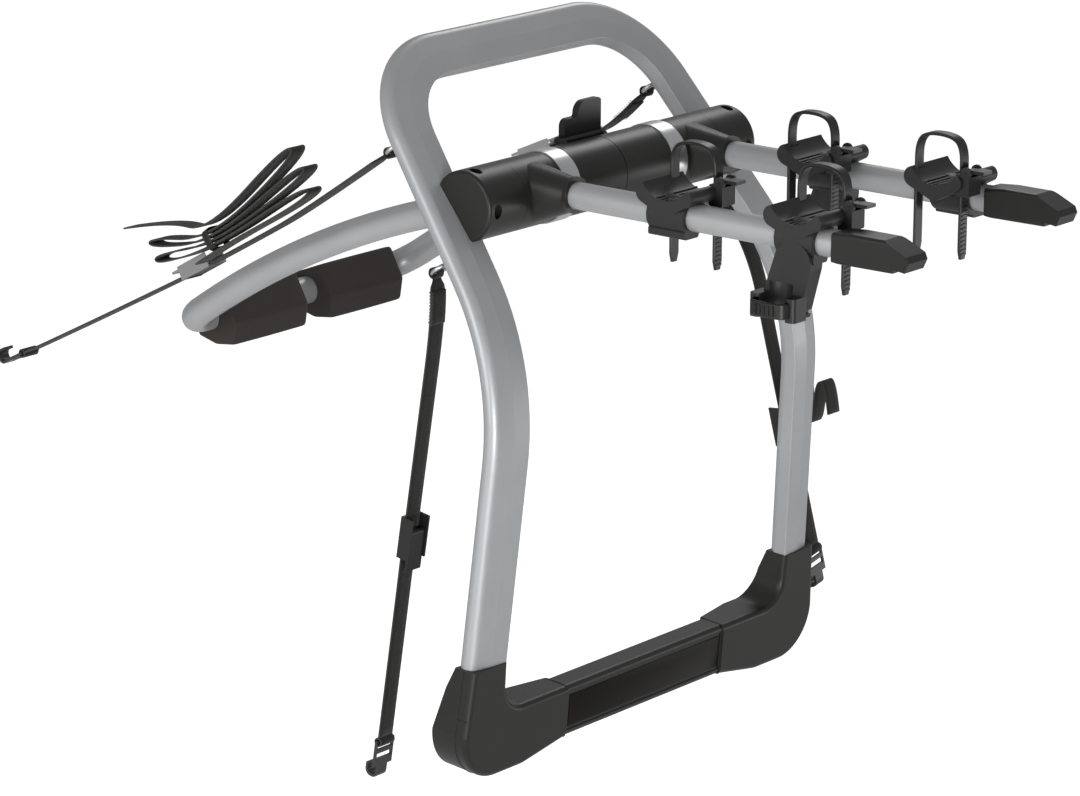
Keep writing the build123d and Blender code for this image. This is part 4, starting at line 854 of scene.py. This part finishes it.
screwSpec = {"head": 5.6, "foot": 0.2, "tall": 5.0, "chamfer": 0.8, "socket": 2.9, "deep": 2.8, "sides": 36,
             "x": 234.6, "rise": 27.0, "seat": 9.0, "lean": 38}
lean = math.radians(screwSpec["lean"])
leanUp = Vector((0, math.sin(lean), math.cos(lean)))
leanIn = Vector((0, math.cos(lean), -math.sin(lean)))
head, tall, chamfer = screwSpec["head"], screwSpec["tall"], screwSpec["chamfer"]
screwRings = ((head, screwSpec["foot"], False), (head, tall - chamfer, False), (head - chamfer, tall, False),
              (screwSpec["socket"], tall, True), (screwSpec["socket"], tall - screwSpec["deep"], True))
bm = bmesh.new()
for side in (-1, 1):
    for sign in (-1, 1):
        seat = leanUp * screwSpec["rise"] * sign - leanIn * screwSpec["seat"] + across * side * screwSpec["x"]
        rings = []
        for radius, height, isHex in screwRings:
            ring = []
            for k in range(screwSpec["sides"]):
                angle = 2 * math.pi * k / screwSpec["sides"]
                reach = radius / math.cos(angle % (math.pi / 3) - math.pi / 6) if isHex else radius
                ring.append(bm.verts.new((seat + (across * math.cos(angle) + leanUp * math.sin(angle)) * reach
                                          - leanIn * height) * mm))
            rings.append(ring)
        for first, second in zip(rings, rings[1:]):
            joinRings(bm, first, second)
        bm.faces.new(rings[0])
        bm.faces.new(rings[-1])
screws = addObject("capScrews", meshFromBm("capScrews", bm), [finishes["brightSteel"]], "rack")
smoothBy(screws)
print("trim made")

# Light, floor and background

studioSpec = {"fill": 0.45, "backdrop": 1.0, "floorReach": 14.0, "floorHeight": -1.05, "floorGlow": 0.60}
lightSpecs = {
    "keyLight": {"place": (-3.0, -2.7, -0.5), "aim": (0, 0, -0.3), "size": (1.8, 1.0), "watts": 90},
    "rearLight": {"place": (-3.1, 0.3, 0.4), "aim": (0, 0, -0.3), "size": (1.4, 1.8), "watts": 40},
    "sideLight": {"place": (2.5, -2.0, -0.7), "aim": (-0.2, 0, -0.5), "size": (1.0, 0.6), "watts": 9},
    "topLight": {"place": (2.2, 0.9, 1.8), "aim": (0, 0, 0), "size": (0.9, 0.9), "watts": 14}}
world = bpy.data.worlds.new("studio")
bpy.context.scene.world = world
world.use_nodes = True
worldTree = world.node_tree
sky = worldTree.nodes["Background"]
sky.inputs["Color"].default_value = (1, 1, 1, 1)
ray = worldTree.nodes.new("ShaderNodeLightPath")
shown = worldTree.nodes.new("ShaderNodeMath")
shown.operation = "MAXIMUM"
skyLevel = worldTree.nodes.new("ShaderNodeMapRange")
skyLevel.inputs["To Min"].default_value = studioSpec["fill"]
skyLevel.inputs["To Max"].default_value = studioSpec["backdrop"]
worldTree.links.new(ray.outputs["Is Camera Ray"], shown.inputs[0])
worldTree.links.new(ray.outputs["Is Transmission Ray"], shown.inputs[1])
worldTree.links.new(shown.outputs[0], skyLevel.inputs["Value"])
worldTree.links.new(skyLevel.outputs["Result"], sky.inputs["Strength"])

for name, light in lightSpecs.items():
    data = bpy.data.lights.new(name, "AREA")
    data.shape = "RECTANGLE"
    data.size, data.size_y = light["size"]
    data.energy = light["watts"]
    lamp = bpy.data.objects.new(name, data)
    bpy.context.scene.collection.objects.link(lamp)
    lamp.location = light["place"]
    lamp.rotation_mode = "QUATERNION"
    lamp.rotation_quaternion = (Vector(light["aim"]) - Vector(light["place"])).to_track_quat("-Z", "Y")

floorMaterial = newMaterial("paleFloor", (0.93, 0.93, 0.93), (0.95, 0.95, 0.95), 0.9, scale=40, strength=0.02,
                            distance=0.0001, variation=0.02, specular=0.1)
floorTree = floorMaterial.node_tree
floorPath = floorTree.nodes.new("ShaderNodeLightPath")
floorGlow = floorTree.nodes.new("ShaderNodeMath")
floorGlow.operation = "MULTIPLY"
floorGlow.inputs[1].default_value = studioSpec["floorGlow"]
floorShader = floorTree.nodes["Principled BSDF"]
floorShader.inputs["Emission Color"].default_value = (1, 1, 1, 1)
floorTree.links.new(floorPath.outputs["Is Camera Ray"], floorGlow.inputs[0])
floorTree.links.new(floorGlow.outputs[0], floorShader.inputs["Emission Strength"])
bm = bmesh.new()
reach = studioSpec["floorReach"]
bm.faces.new([bm.verts.new((x * reach, y * reach, studioSpec["floorHeight"]))
              for x, y in ((-1, -1), (1, -1), (1, 1), (-1, 1))])
floorMesh = bpy.data.meshes.new("paleFloor")
bm.to_mesh(floorMesh)
bm.free()
floorMesh.materials.append(floorMaterial)
paleFloor = bpy.data.objects.new("paleFloor", floorMesh)
bpy.context.scene.collection.objects.link(paleFloor)
paleFloor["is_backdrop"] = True

bpy.context.scene.view_settings.view_transform = "Standard"
print("studio made")

low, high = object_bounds()
